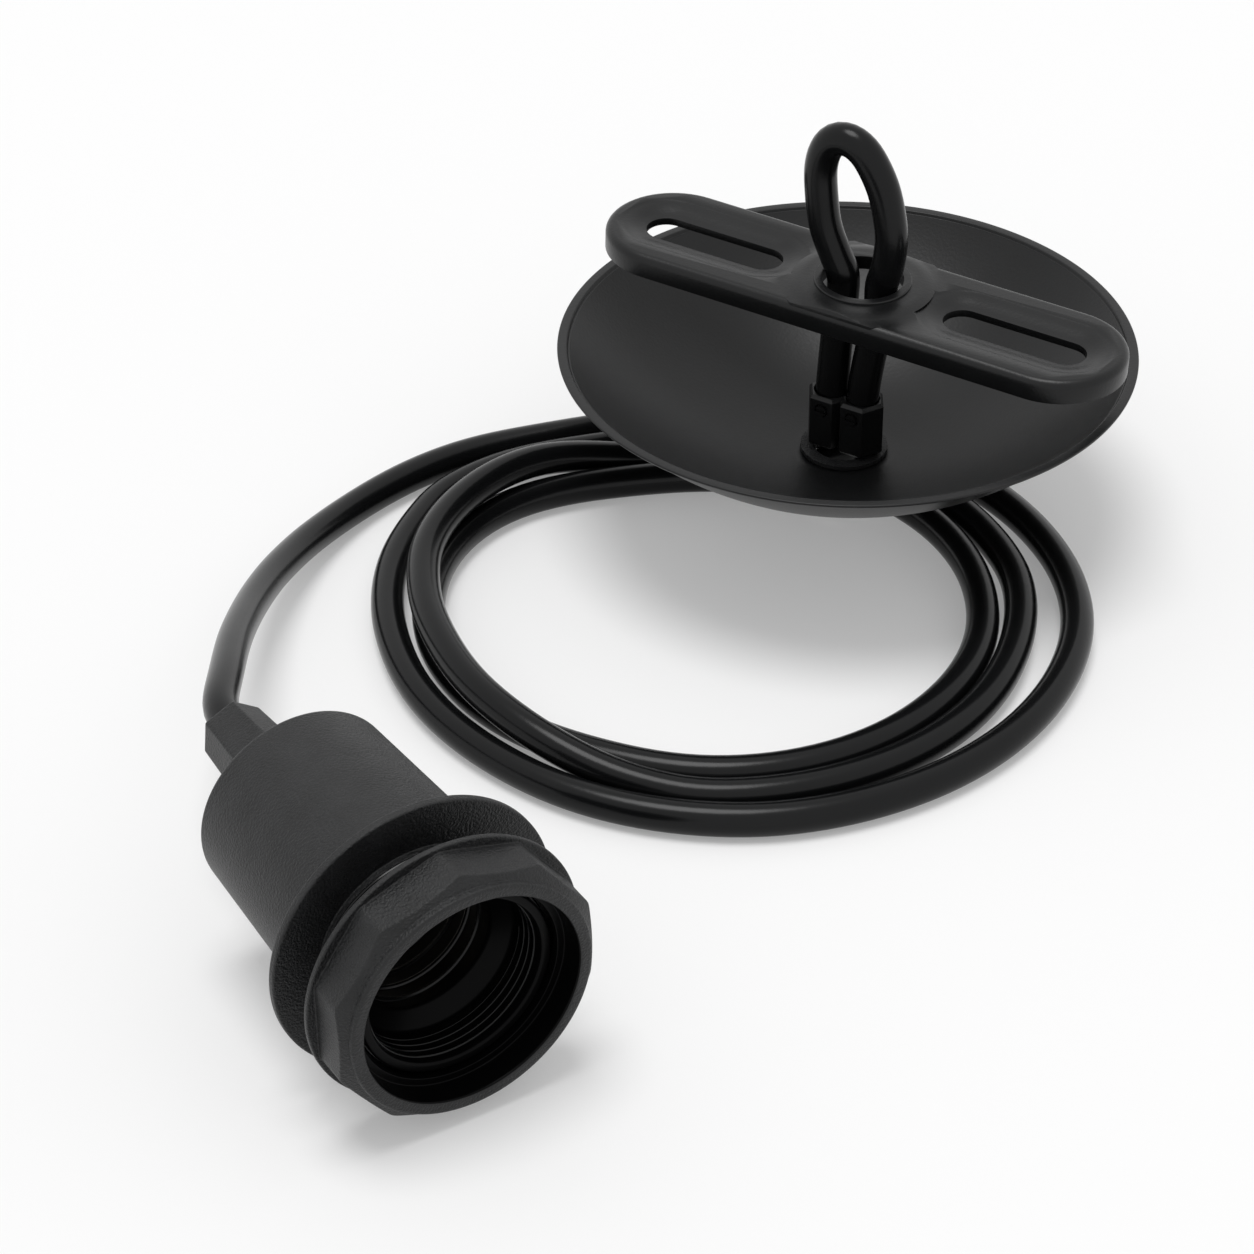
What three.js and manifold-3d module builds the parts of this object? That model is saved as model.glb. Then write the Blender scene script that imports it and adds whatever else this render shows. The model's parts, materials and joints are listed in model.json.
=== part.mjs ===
// Pendant lamp cord set in black: a threaded lamp holder with a shade ring, a coiled two-core cord,
// a dished ceiling canopy and a slotted ceiling bracket held by a loop of the cord.
// Millimetres, +Z up, standing on z = 0 as it lies on a table.

import * as THREE from "three";
import { mergeVertices } from "three/addons/utils/BufferGeometryUtils.js";
import Module from "manifold-3d";

const wasm = await Module();
wasm.setup();

// Fits and facets
const CLEARANCE = 0.3;
const MERGE_DISTANCE = 1e-4;
const HOLDER_FACETS = 50;
const CANOPY_FACETS = 54;
const SMALL_FACETS = 24;
const CORD_SIDES = 12;
const CORE_SIDES = 8;
const CORE_STEPS = 12;
const ARC_STEPS = 8;
const THROUGH = 1;

// Cord
const CORD_DIAMETER = 7;
const CORD_RADIUS = CORD_DIAMETER / 2;
const CORE_RADIUS = 1.2;
const CORE_SPREAD = 1.4;

// Where the holder lies: centre of its flange, its turn from the -Y axis, and its nose-down tilt
const HOLDER_X = -52.8;
const HOLDER_Y = -105.25;
const HOLDER_YAW = THREE.MathUtils.degToRad(32.24);
const HOLDER_TILT = THREE.MathUtils.degToRad(1.57);

// Holder skirt: shade flange, outer barrel for the ring, lamp bore, and the spigot inside the cap
const FLANGE_RADIUS = 28.73;
const FLANGE_THICKNESS = 1.8;
const FLANGE_EDGE = 0.4;
const BARREL_RADIUS = 20;
const BARREL_LENGTH = 15;
const BARREL_MOUTH_RADIUS = 17.6;
const BARREL_MOUTH_DEPTH = 9;
const LAMP_BORE_RADIUS = 13.6;
const LAMP_BORE_LENGTH = 16;
const BORE_LEAD_IN = 3;
const SPIGOT_WALL = 1.7;
const SPIGOT_LENGTH = 14;

// Holder cap: tapered shell with a boss and a hollow neck for the cord grip
const CAP_LENGTH = 42.2;
const CAP_REAR_RADIUS = 20.1;
const CAP_FRONT_RADIUS = 22.1;
const CAP_WALL = 1.8;
const CAP_FLOOR = 2.5;
const CAP_EDGE = 1.3;
const CAP_EDGE_CORNER = 0.4;
const BOSS_RADIUS = 8.2;
const BOSS_LENGTH = 5.4;
const NECK_LENGTH = 10.3;
const NECK_WALL = 1.2;

// Cord grip: six-sided nut and split collet
const NUT_LENGTH = 20;
const NUT_FRONT_CORNER = 8;
const NUT_REAR_CORNER = 6.7;
const NUT_CORNER_ANGLE = THREE.MathUtils.degToRad(26);
const NUT_CHAMFER = 0.5;
const COLLET_LENGTH = 5.2;
const COLLET_TAPER = 0.5;
const COLLET_SLIT = 1;

// Shade ring: ten-sided nut with a thin rear flange and a round front lip
const RING_REAR = 9.5;
const RING_FLANGE_RADIUS = 27.84;
const RING_FLANGE_THICKNESS = 1.2;
const RING_SIDES = 10;
const RING_CORNER_RADIUS = 27.2;
const RING_CORNER_ANGLE = THREE.MathUtils.degToRad(20);
const RING_BODY_LENGTH = 8.9;
const RING_LIP_RADIUS = 24.6;
const RING_LIP_LENGTH = 1.47;
const RING_LIP_EDGE = 0.6;
const RING_MOUTH_RADIUS = 21.85;
const RING_MOUTH_DEPTH = 5.3;
const RING_CHAMFER_DROP = 0.4;

// Contact carrier, contacts and terminals behind the lamp bore
const CARRIER_THICKNESS = 10.7;
const CARRIER_EDGE = 0.6;
const STRIP_THICKNESS = 0.5;
const CENTRE_STRIP_WIDTH = 5;
const CENTRE_STRIP_X = 9.25;
const CENTRE_TONGUE_RISE = 3.6;
const CENTRE_TONGUE_ROOT = 3.1;
const CENTRE_TONGUE_CREST = -1.5;
const CENTRE_TONGUE_TIP = -3.1;
const SIDE_STRIP_WIDTH = 4;
const SIDE_STRIP_X = -12.45;
const SIDE_STRIP_REACH = 7;
const SIDE_STRIP_BOW = 0.9;
const SIDE_STRIP_BOW_HEIGHT = 4.2;
const TERMINAL_WIDTH = 5.5;
const TERMINAL_DEPTH = 6;
const TERMINAL_LENGTH = 7;
const TERMINAL_SINK = 1.5;
const SCREW_SHANK_RADIUS = 1.3;
const SCREW_HEAD_RADIUS = 2.1;
const SCREW_HEAD_HEIGHT = 1.3;
const SCREW_SLOT = 0.6;
const SHEATH_END = 5.8;

// Canopy: shallow spherical dish, rim up, with a flat lip and a central bush
const CANOPY_X = 31.9;
const CANOPY_Y = 74.5;
const CANOPY_RIM_HEIGHT = 42;
const CANOPY_RADIUS = 61.6;
const CANOPY_DEPTH = 26;
const CANOPY_SHEET = 1;
const CANOPY_LIP_WIDTH = 2.6;
const CANOPY_STEP = 0.7;
const CANOPY_FLAT_RADIUS = 10.5;
const CANOPY_HOLE_RADIUS = 7.9;
const CANOPY_ARC_STEPS = 8;
const BUSH_BORE_RADIUS = 6.6;
const BUSH_FLANGE_RADIUS = 9.4;
const BUSH_FLANGE_THICKNESS = 0.9;

// Ceiling bracket: pressed strip with round ends, turned-down edge, two slots and a raised round hole.
// It hangs on the loop a little turned and tilted; both angles are in degrees.
const STEM_YAW = THREE.MathUtils.degToRad(-30.6);
const BRACKET_X = 2.29;
const BRACKET_Y = 1.5;
const BRACKET_TOP = 57;
const BRACKET_TURN = 0.5;
const BRACKET_TILT = 1.3;
const BRACKET_LENGTH = 120.2;
const BRACKET_WIDTH = 30.2;
const BRACKET_HEIGHT = 5;
const BRACKET_SHEET = 1.6;
const BRACKET_CROWN = 1.65;
const CROWN_ROUNDING = [[0, 0], [0.5, 0.125], [0.875, 0.5], [1, 1]];
const BRACKET_HOLE_RADIUS = 8.67;
const BRACKET_BOSS_RADIUS = 12.4;
const BRACKET_BOSS_FOOT = 17.5;
const BRACKET_BOSS_HEIGHT = 0.9;
const BOSS_FOOT_INSET = 0.4;
const BOSS_TOP_INSET = 2;
const HOLE_RIM_WIDTH = 1.7;
const HOLE_RIM_HEIGHT = 0.6;
const SLOT_START = 19.4;
const SLOT_END = 51.6;
const SLOT_WIDTH = 9;
const SLOT_DISH_RADIUS = 10.6;
const SLOT_DISH_DEPTH = 1.5;
const SLOT_DISH_ROUNDING = [[1, 0], [0.8, 0.25], [0.4, 0.55], [0.1, 0.85]];

// Cord clamp under the bracket: double six-sided sleeve with one set screw for each leg
const CLAMP_HEIGHT = 12.5;
const CLAMP_CORNER = 5.3;
const CLAMP_EDGE = 0.7;
const LEG_SPREAD = 3.65;
const STEM_SHIFT = 0.2;
const SET_SCREW_RADIUS = 1.25;
const SET_SCREW_LENGTH = 1.2;
const SET_SCREW_RISE = 9.4;

// The held loop of the cord, as (along the bracket, across it, height) from the canopy's axis
const LOOP_POINTS = [
  [-1.9, 0, 13.25],
  [0, 0, 15.5],
  [1.9, 0, 18.6],
  [3.2, 0, 22.3],
  [3.85, 0.1, 26.8],
  [4.3, 0.3, 34],
  [5.6, 0.8, 44],
  [6.7, 1.3, 52],
  [6.8, 1.4, 58],
  [7.9, 1.3, 62],
  [8.6, 1.3, 67],
  [8.5, 1.3, 72.3],
  [6.5, 1.3, 80.6],
  [2.9, 1.3, 87],
  [-0.6, 1.3, 89.7],
  [-4, 1.3, 89.8],
  [-6.5, 1.3, 87.8],
  [-8, 1.3, 83.8],
  [-8.2, 1.3, 78.5],
  [-6.9, 1.3, 69],
  [-4.1, 1.4, 62],
  [-2.3, 1.4, 58],
  [-2.3, 1.3, 52],
  [-2.9, 0.8, 44],
  [-3.3, 0.3, 34],
  [-3.45, 0, 28],
  [-3.45, 0, 24.2],
];
const LOOP_STEPS = 46;

// The free cord from the grip nut down to the coil
const LEAD_POINTS = [
  [-90.29, -45.81, 30.65],
  [-91.7, -43.4, 30.7],
  [-92.65, -40.5, 30.5],
  [-93, -37.4, 30.1],
  [-93.05, -31.3, 28.9],
  [-92.95, -24.1, 27.3],
  [-93.05, -16.9, 25.4],
  [-93.05, -9.8, 23.5],
  [-92.95, -2.7, 21.4],
  [-92.55, 4.4, 19.3],
  [-92.05, 11.4, 17.1],
  [-91.35, 18.5, 15],
  [-90.35, 25.5, 13],
  [-89.15, 32.5, 11.1],
  [-87.45, 39.5, 9.3],
  [-85.45, 46.4, 7.6],
  [-82.95, 53.2, 6.2],
  [-79.85, 59.8, 5],
  [-76.25, 66.2, 4.1],
  [-72.05, 72.2, 3.6],
  [-67.25, 77.8, 3.5],
  [-61.95, 82.9, 3.5],
  [-56.15, 87.5, 3.5],
  [-49.95, 91.4, 3.5],
  [-43.35, 94.4, 3.5],
  [-36.35, 96.8, 3.5],
  [-29.9, 98.8, 3.5],
];
const LEAD_STEPS = 18;

// The coil lies clockwise about this centre; each outline point is (azimuth, radius), the azimuth in degrees
const COIL_X = 1.15;
const COIL_Y = 32.55;
const COIL_OUTER = [
  [114.6, 76.7],
  [95, 75.7],
  [80, 76.5],
  [50, 79],
  [20, 80.8],
  [-5, 81.5],
  [-39, 79.1],
  [-79, 76.5],
  [-108, 73],
  [-133, 70.1],
  [-163, 68.8],
  [-195, 71.1],
  [-217, 73.8],
  [-231, 72.3],
  [-245.4, 69.3],
];
const COIL_INNER = [
  [79.4, 54.9],
  [50, 55.5],
  [3, 55],
  [-34, 54.7],
  [-63, 54.7],
  [-89, 53.8],
  [-112, 52.5],
  [-150, 53.5],
  [-180, 54.1],
  [-205, 54.5],
  [-223, 53],
  [-240, 49.3],
  [-265, 46.5],
  [-280.6, 47.1],
];
const COIL_STEPS = 56;
const CROSSING_START = -140;
const CROSSING_END = -232;
const CROSSING_INNER = 54.6;
const CROSSING_OUTER = 62.4;
const CROSSING_STEPS = 14;

// The free cord from the coil up to the canopy, as (azimuth, radius, height)
const RISER_POINTS = [
  [79, 50.6, 3.5],
  [75, 50.8, 3.9],
  [70, 51, 4.9],
  [65, 51.3, 6.8],
  [61, 51.5, 9],
  [58, 51.7, 11.3],
  [56.07, 51.85, 13],
];
const RISER_STEPS = 6;

// Finishes
const TEXTURED_PLASTIC = { color: 0x2b2c2e, roughness: 0.72, metalness: 0 };
const PAINTED_STEEL = { color: 0x232426, roughness: 0.5, metalness: 0.1 };
const CORD_SHEATH = { color: 0x1d1e20, roughness: 0.4, metalness: 0 };
const WHITE_CERAMIC = { color: 0xe4e0d6, roughness: 0.35, metalness: 0 };
const BRASS = { color: 0xb9924c, roughness: 0.3, metalness: 1 };
const ZINC_STEEL = { color: 0xa7abb0, roughness: 0.35, metalness: 1 };
const BROWN_CORE = { color: 0x5a3420, roughness: 0.5, metalness: 0 };
const BLUE_CORE = { color: 0x2d5fa6, roughness: 0.5, metalness: 0 };

// A closed geometry as a solid that can be joined and cut
function solid(geometry) {
  const bare = geometry.clone();
  bare.deleteAttribute("normal");
  bare.deleteAttribute("uv");
  const merged = mergeVertices(bare, MERGE_DISTANCE);
  const corners = merged.index.array;
  const faces = [];
  for (let i = 0; i < corners.length; i += 3) {
    const [a, b, c] = corners.slice(i, i + 3);
    if (a !== b && b !== c && c !== a) faces.push(a, b, c);
  }
  const vertProperties = merged.attributes.position.array;
  const triVerts = new Uint32Array(faces);
  return new wasm.Manifold(new wasm.Mesh({ numProp: 3, vertProperties, triVerts }));
}

// A solid as a named mesh with a material of its own
function piece(name, body, finish) {
  const { vertProperties, triVerts } = body.getMesh();
  const geometry = new THREE.BufferGeometry();
  geometry.setAttribute("position", new THREE.BufferAttribute(vertProperties, 3));
  geometry.setIndex(new THREE.BufferAttribute(triVerts, 1));
  geometry.computeVertexNormals();
  const mesh = new THREE.Mesh(geometry, new THREE.MeshStandardMaterial(finish));
  mesh.name = name;
  return mesh;
}

// A profile of (radius, height) points turned about Z
function revolve(profile, facets = SMALL_FACETS) {
  const points = profile.map(([r, z]) => new THREE.Vector2(r, z));
  if (THREE.ShapeUtils.area(points) < 0) points.reverse();
  points.push(points[0].clone());
  return solid(new THREE.LatheGeometry(points, facets).rotateX(Math.PI / 2));
}

function cylinder(radius, low, high, facets = SMALL_FACETS) {
  return revolve([[0, low], [radius, low], [radius, high], [0, high]], facets);
}

function block(x, y, z) {
  const size = [x[1] - x[0], y[1] - y[0], z[1] - z[0]];
  const centre = [x[0] + x[1], y[0] + y[1], z[0] + z[1]].map((sum) => sum / 2);
  return solid(new THREE.BoxGeometry(...size).translate(...centre));
}

// Level outlines of equal count, counter-clockwise from above and listed upwards, skinned into one solid
function loft(outlines) {
  const count = outlines[0].length;
  const centreOf = (outline) =>
    outline.reduce((sum, p) => sum.add(p), new THREE.Vector3()).divideScalar(count);
  const vertices = [...outlines.flat(), centreOf(outlines[0]), centreOf(outlines.at(-1))];
  const bottom = outlines.length * count;
  const top = bottom + 1;
  const faces = [];
  for (let j = 0; j < count; j++) {
    const next = (j + 1) % count;
    for (let i = 0; i < outlines.length - 1; i++) {
      const low = i * count;
      const high = low + count;
      faces.push(low + j, low + next, high + next, low + j, high + next, high + j);
    }
    faces.push(bottom, next, j);
    faces.push(top, (outlines.length - 1) * count + j, (outlines.length - 1) * count + next);
  }
  const geometry = new THREE.BufferGeometry().setFromPoints(vertices);
  geometry.setIndex(faces);
  return solid(geometry);
}

// A level polygon with one corner at the start angle
function polygon(sides, radius, z, start) {
  return Array.from({ length: sides }, (_, k) => {
    const angle = start + (2 * Math.PI * k) / sides;
    return new THREE.Vector3(radius * Math.cos(angle), radius * Math.sin(angle), z);
  });
}

// A level slot outline: two half circles joined by straights, along X
function slotOutline(centre, halfLength, radius, z) {
  const outline = [];
  for (const side of [1, -1]) {
    for (let k = 0; k <= ARC_STEPS; k++) {
      const angle = -Math.PI / 2 + (Math.PI * k) / ARC_STEPS;
      const x = centre + side * (halfLength + radius * Math.cos(angle));
      outline.push(new THREE.Vector3(x, side * radius * Math.sin(angle), z));
    }
  }
  return outline;
}

// Slot outlines stacked from (height, radius) levels
function slotLoft(centre, halfLength, levels) {
  return loft(levels.map(([z, radius]) => slotOutline(centre, halfLength, radius, z)));
}

function tube(points, radius, sides, steps) {
  const curve = new THREE.CatmullRomCurve3(points.map((p) => new THREE.Vector3(...p)));
  const section = new THREE.Shape(polygon(sides, radius, 0, 0).map((p) => new THREE.Vector2(p.x, p.y)));
  const options = { steps, extrudePath: curve, bevelEnabled: false };
  return solid(new THREE.ExtrudeGeometry(section, options));
}

// A bent strip: its middle line in the XZ plane, its width along Y
function strip(line, width) {
  const middle = line.map(([x, z]) => new THREE.Vector2(x, z));
  const offset = (side) =>
    middle.map((p, i) => {
      const before = middle[Math.max(i - 1, 0)];
      const after = middle[Math.min(i + 1, middle.length - 1)];
      const along = after.clone().sub(before).normalize();
      const across = new THREE.Vector2(-along.y, along.x);
      return p.clone().addScaledVector(across, (side * STRIP_THICKNESS) / 2);
    });
  const shape = new THREE.Shape([...offset(-1), ...offset(1).reverse()]);
  const flat = new THREE.ExtrudeGeometry(shape, { depth: width, bevelEnabled: false });
  return solid(flat.rotateX(Math.PI / 2).translate(0, width / 2, 0));
}

// Heights along the holder's axis, from the flange's front face, mouth positive
const CAP_FRONT = -(FLANGE_THICKNESS + CLEARANCE);
const CAP_REAR = CAP_FRONT - CAP_LENGTH;
const BOSS_REAR = CAP_REAR - BOSS_LENGTH;
const NECK_REAR = BOSS_REAR - NECK_LENGTH;
const NUT_FRONT = BOSS_REAR - CLEARANCE;
const NUT_REAR = NUT_FRONT - NUT_LENGTH;
const SHOULDER = BARREL_LENGTH - BARREL_MOUTH_DEPTH - BORE_LEAD_IN - LAMP_BORE_LENGTH;
const CARRIER_FRONT = SHOULDER - CLEARANCE;
const CARRIER_REAR = CARRIER_FRONT - CARRIER_THICKNESS;
const TERMINAL_FRONT = CARRIER_REAR + TERMINAL_SINK;
const TERMINAL_REAR = TERMINAL_FRONT - TERMINAL_LENGTH;
const TERMINAL_SCREW_AT = CARRIER_REAR - SCREW_HEAD_RADIUS - CLEARANCE;
const SHEATH_FRONT = CAP_REAR + SHEATH_END;

// Radii that fit inside each other
const CORD_BORE_RADIUS = CORD_RADIUS + CLEARANCE;
const NECK_RADIUS = CORD_BORE_RADIUS + NECK_WALL;
const NUT_BORE_RADIUS = NECK_RADIUS + CLEARANCE;
const SPIGOT_RADIUS = capInnerRadius(CAP_FRONT - SPIGOT_LENGTH) - CLEARANCE;
const CHAMBER_RADIUS = SPIGOT_RADIUS - SPIGOT_WALL;
const CARRIER_RADIUS = CHAMBER_RADIUS - CLEARANCE;

// The cap tapers evenly from its front to its rear
function capOuterRadius(height) {
  const share = (CAP_FRONT - height) / CAP_LENGTH;
  return THREE.MathUtils.lerp(CAP_FRONT_RADIUS, CAP_REAR_RADIUS, share);
}

function capInnerRadius(height) {
  return capOuterRadius(height) - CAP_WALL;
}

function holderCap() {
  const floor = CAP_REAR + CAP_FLOOR;
  return revolve(
    [
      [CORD_BORE_RADIUS, NECK_REAR],
      [NECK_RADIUS, NECK_REAR],
      [NECK_RADIUS, BOSS_REAR],
      [BOSS_RADIUS, BOSS_REAR],
      [BOSS_RADIUS, CAP_REAR],
      [capOuterRadius(CAP_REAR) - CAP_EDGE, CAP_REAR],
      [capOuterRadius(CAP_REAR) - CAP_EDGE_CORNER, CAP_REAR + CAP_EDGE_CORNER],
      [capOuterRadius(CAP_REAR + CAP_EDGE), CAP_REAR + CAP_EDGE],
      [CAP_FRONT_RADIUS, CAP_FRONT],
      [capInnerRadius(CAP_FRONT), CAP_FRONT],
      [capInnerRadius(floor), floor],
      [CORD_BORE_RADIUS, floor],
    ],
    HOLDER_FACETS,
  );
}

function holderSkirt() {
  return revolve(
    [
      [CHAMBER_RADIUS, CAP_FRONT - SPIGOT_LENGTH],
      [SPIGOT_RADIUS, CAP_FRONT - SPIGOT_LENGTH],
      [SPIGOT_RADIUS, -FLANGE_THICKNESS],
      [FLANGE_RADIUS - FLANGE_EDGE, -FLANGE_THICKNESS],
      [FLANGE_RADIUS, FLANGE_EDGE - FLANGE_THICKNESS],
      [FLANGE_RADIUS, -FLANGE_EDGE],
      [FLANGE_RADIUS - FLANGE_EDGE, 0],
      [BARREL_RADIUS, 0],
      [BARREL_RADIUS, BARREL_LENGTH - FLANGE_EDGE],
      [BARREL_RADIUS - FLANGE_EDGE, BARREL_LENGTH],
      [BARREL_MOUTH_RADIUS, BARREL_LENGTH],
      [BARREL_MOUTH_RADIUS, BARREL_LENGTH - BARREL_MOUTH_DEPTH],
      [LAMP_BORE_RADIUS, BARREL_LENGTH - BARREL_MOUTH_DEPTH - BORE_LEAD_IN],
      [LAMP_BORE_RADIUS, SHOULDER],
      [CHAMBER_RADIUS, SHOULDER],
    ],
    HOLDER_FACETS,
  );
}

// The corner chamfer is a cone, so it meets each flat in an arc
function shadeRing() {
  const bodyFront = RING_REAR + RING_FLANGE_THICKNESS + RING_BODY_LENGTH;
  const front = bodyFront + RING_LIP_LENGTH;
  const flatRadius = RING_CORNER_RADIUS * Math.cos(Math.PI / RING_SIDES);
  const chamfer = RING_CORNER_RADIUS - flatRadius + RING_CHAMFER_DROP;
  const threadEnd = front - RING_MOUTH_DEPTH;
  const threadRadius = BARREL_RADIUS + CLEARANCE;
  const ten = (z) => polygon(RING_SIDES, RING_CORNER_RADIUS, z, RING_CORNER_ANGLE);
  const cone = revolve(
    [
      [0, RING_REAR],
      [RING_CORNER_RADIUS, RING_REAR],
      [RING_CORNER_RADIUS, bodyFront - chamfer],
      [RING_LIP_RADIUS, bodyFront],
      [0, bodyFront],
    ],
    HOLDER_FACETS,
  );
  const outside = revolve(
    [
      [0, RING_REAR],
      [RING_FLANGE_RADIUS, RING_REAR],
      [RING_FLANGE_RADIUS, RING_REAR + RING_FLANGE_THICKNESS],
      [RING_LIP_RADIUS, RING_REAR + RING_FLANGE_THICKNESS],
      [RING_LIP_RADIUS, front - RING_LIP_EDGE],
      [RING_LIP_RADIUS - RING_LIP_EDGE, front],
      [0, front],
    ],
    HOLDER_FACETS,
  );
  const inside = revolve(
    [
      [0, RING_REAR - THROUGH],
      [threadRadius, RING_REAR - THROUGH],
      [threadRadius, threadEnd],
      [RING_MOUTH_RADIUS, threadEnd],
      [RING_MOUTH_RADIUS, front - RING_LIP_EDGE],
      [RING_MOUTH_RADIUS + RING_LIP_EDGE + THROUGH, front + THROUGH],
      [0, front + THROUGH],
    ],
    HOLDER_FACETS,
  );
  return loft([ten(RING_REAR), ten(bodyFront)]).intersect(cone).add(outside).subtract(inside);
}

function gripNut() {
  const six = (radius, z) => polygon(6, radius, z, NUT_CORNER_ANGLE);
  const outside = loft([
    six(NUT_REAR_CORNER - NUT_CHAMFER, NUT_REAR),
    six(NUT_REAR_CORNER, NUT_REAR + NUT_CHAMFER),
    six(NUT_FRONT_CORNER, NUT_FRONT),
  ]);
  const colletRear = NECK_REAR - CLEARANCE - COLLET_LENGTH;
  const inside = revolve([
    [0, NUT_REAR - THROUGH],
    [CORD_BORE_RADIUS, NUT_REAR - THROUGH],
    [CORD_BORE_RADIUS, colletRear - CLEARANCE],
    [NUT_BORE_RADIUS - COLLET_TAPER, colletRear - CLEARANCE],
    [NUT_BORE_RADIUS, NECK_REAR - CLEARANCE],
    [NUT_BORE_RADIUS, NUT_FRONT + THROUGH],
    [0, NUT_FRONT + THROUGH],
  ]);
  return outside.subtract(inside);
}

function gripCollet() {
  const front = NECK_REAR - CLEARANCE;
  const rear = front - COLLET_LENGTH;
  const sleeve = revolve([
    [CORD_BORE_RADIUS, rear],
    [NECK_RADIUS - COLLET_TAPER, rear],
    [NECK_RADIUS, front],
    [CORD_BORE_RADIUS, front],
  ]);
  const half = COLLET_SLIT / 2;
  return sleeve.subtract(block([0, NECK_RADIUS + THROUGH], [-half, half], [rear - THROUGH, front + THROUGH]));
}

// The live terminal stands outside its strip, the neutral one inside it
function terminalSpan(live) {
  const near = live ? CENTRE_STRIP_X : SIDE_STRIP_X;
  const low = near + STRIP_THICKNESS / 2 + CLEARANCE;
  return [low, low + TERMINAL_WIDTH];
}

function terminalCentre(live) {
  const [low, high] = terminalSpan(live);
  return (low + high) / 2;
}

function contactCarrier() {
  let carrier = revolve(
    [
      [0, CARRIER_REAR],
      [CARRIER_RADIUS - CARRIER_EDGE, CARRIER_REAR],
      [CARRIER_RADIUS, CARRIER_REAR + CARRIER_EDGE],
      [CARRIER_RADIUS, CARRIER_FRONT],
      [0, CARRIER_FRONT],
    ],
    HOLDER_FACETS,
  );
  for (const live of [true, false]) {
    const [low, high] = terminalSpan(live);
    const deep = TERMINAL_DEPTH / 2 + CLEARANCE;
    const pocket = block(
      [low - CLEARANCE, high + CLEARANCE],
      [-deep, deep],
      [CARRIER_REAR - THROUGH, TERMINAL_FRONT + CLEARANCE],
    );
    const x = live ? CENTRE_STRIP_X : SIDE_STRIP_X;
    const across = STRIP_THICKNESS / 2 + CLEARANCE;
    const wide = (live ? CENTRE_STRIP_WIDTH : SIDE_STRIP_WIDTH) / 2 + CLEARANCE;
    const slit = block(
      [x - across, x + across],
      [-wide, wide],
      [CARRIER_REAR - THROUGH, CARRIER_FRONT + THROUGH],
    );
    carrier = carrier.subtract(pocket).subtract(slit);
  }
  return carrier;
}

function centreContact() {
  const face = CARRIER_FRONT + CLEARANCE + STRIP_THICKNESS / 2;
  return strip(
    [
      [CENTRE_STRIP_X, CARRIER_REAR + CLEARANCE],
      [CENTRE_STRIP_X, face - STRIP_THICKNESS],
      [CENTRE_STRIP_X - STRIP_THICKNESS, face],
      [CENTRE_TONGUE_ROOT, face],
      [CENTRE_TONGUE_CREST, face + CENTRE_TONGUE_RISE],
      [CENTRE_TONGUE_TIP, face + CENTRE_TONGUE_RISE - STRIP_THICKNESS],
    ],
    CENTRE_STRIP_WIDTH,
  );
}

function sideContact() {
  return strip(
    [
      [SIDE_STRIP_X, CARRIER_REAR + CLEARANCE],
      [SIDE_STRIP_X, CARRIER_FRONT],
      [SIDE_STRIP_X + SIDE_STRIP_BOW, CARRIER_FRONT + SIDE_STRIP_BOW_HEIGHT],
      [SIDE_STRIP_X, CARRIER_FRONT + SIDE_STRIP_REACH],
    ],
    SIDE_STRIP_WIDTH,
  );
}

function terminalBlock(live) {
  const x = terminalCentre(live);
  const half = TERMINAL_DEPTH / 2;
  const wireHole = CORE_RADIUS + CLEARANCE;
  const screwHole = SCREW_SHANK_RADIUS + CLEARANCE;
  const wireEnd = TERMINAL_FRONT - CLEARANCE - THROUGH;
  const wire = cylinder(wireHole, TERMINAL_REAR - THROUGH, wireEnd).translate([x, 0, 0]);
  const screw = cylinder(screwHole, -half - THROUGH, 0)
    .rotate([90, 0, 0])
    .translate([x, 0, TERMINAL_SCREW_AT]);
  return block(terminalSpan(live), [-half, half], [TERMINAL_REAR, TERMINAL_FRONT])
    .subtract(wire)
    .subtract(screw);
}

function terminalScrew(live) {
  const seat = TERMINAL_DEPTH / 2 + CLEARANCE;
  const tip = CORE_RADIUS + CLEARANCE;
  const crown = seat + SCREW_HEAD_HEIGHT;
  const screw = revolve([
    [0, tip],
    [SCREW_SHANK_RADIUS, tip],
    [SCREW_SHANK_RADIUS, seat],
    [SCREW_HEAD_RADIUS, seat],
    [SCREW_HEAD_RADIUS, crown],
    [0, crown],
  ]);
  const reach = SCREW_HEAD_RADIUS + THROUGH;
  const groove = block([-reach, reach], [-SCREW_SLOT / 2, SCREW_SLOT / 2], [crown - SCREW_SLOT, crown + THROUGH]);
  return screw.subtract(groove).rotate([-90, 0, 0]).translate([terminalCentre(live), 0, TERMINAL_SCREW_AT]);
}

function sheathInGrip() {
  return cylinder(CORD_RADIUS, NUT_REAR, SHEATH_FRONT);
}

function core(live) {
  const x = terminalCentre(live);
  const start = Math.sign(x) * CORE_SPREAD;
  return tube(
    [
      [start, 0, SHEATH_FRONT + CLEARANCE],
      [start, 0, SHEATH_FRONT + CORD_RADIUS / 2],
      [(start + x) / 2, 0, (SHEATH_FRONT + TERMINAL_REAR) / 2],
      [x, 0, TERMINAL_REAR - CLEARANCE],
      [x, 0, TERMINAL_REAR + TERMINAL_LENGTH / 2],
    ],
    CORE_RADIUS,
    CORE_SIDES,
    CORE_STEPS,
  );
}

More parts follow.
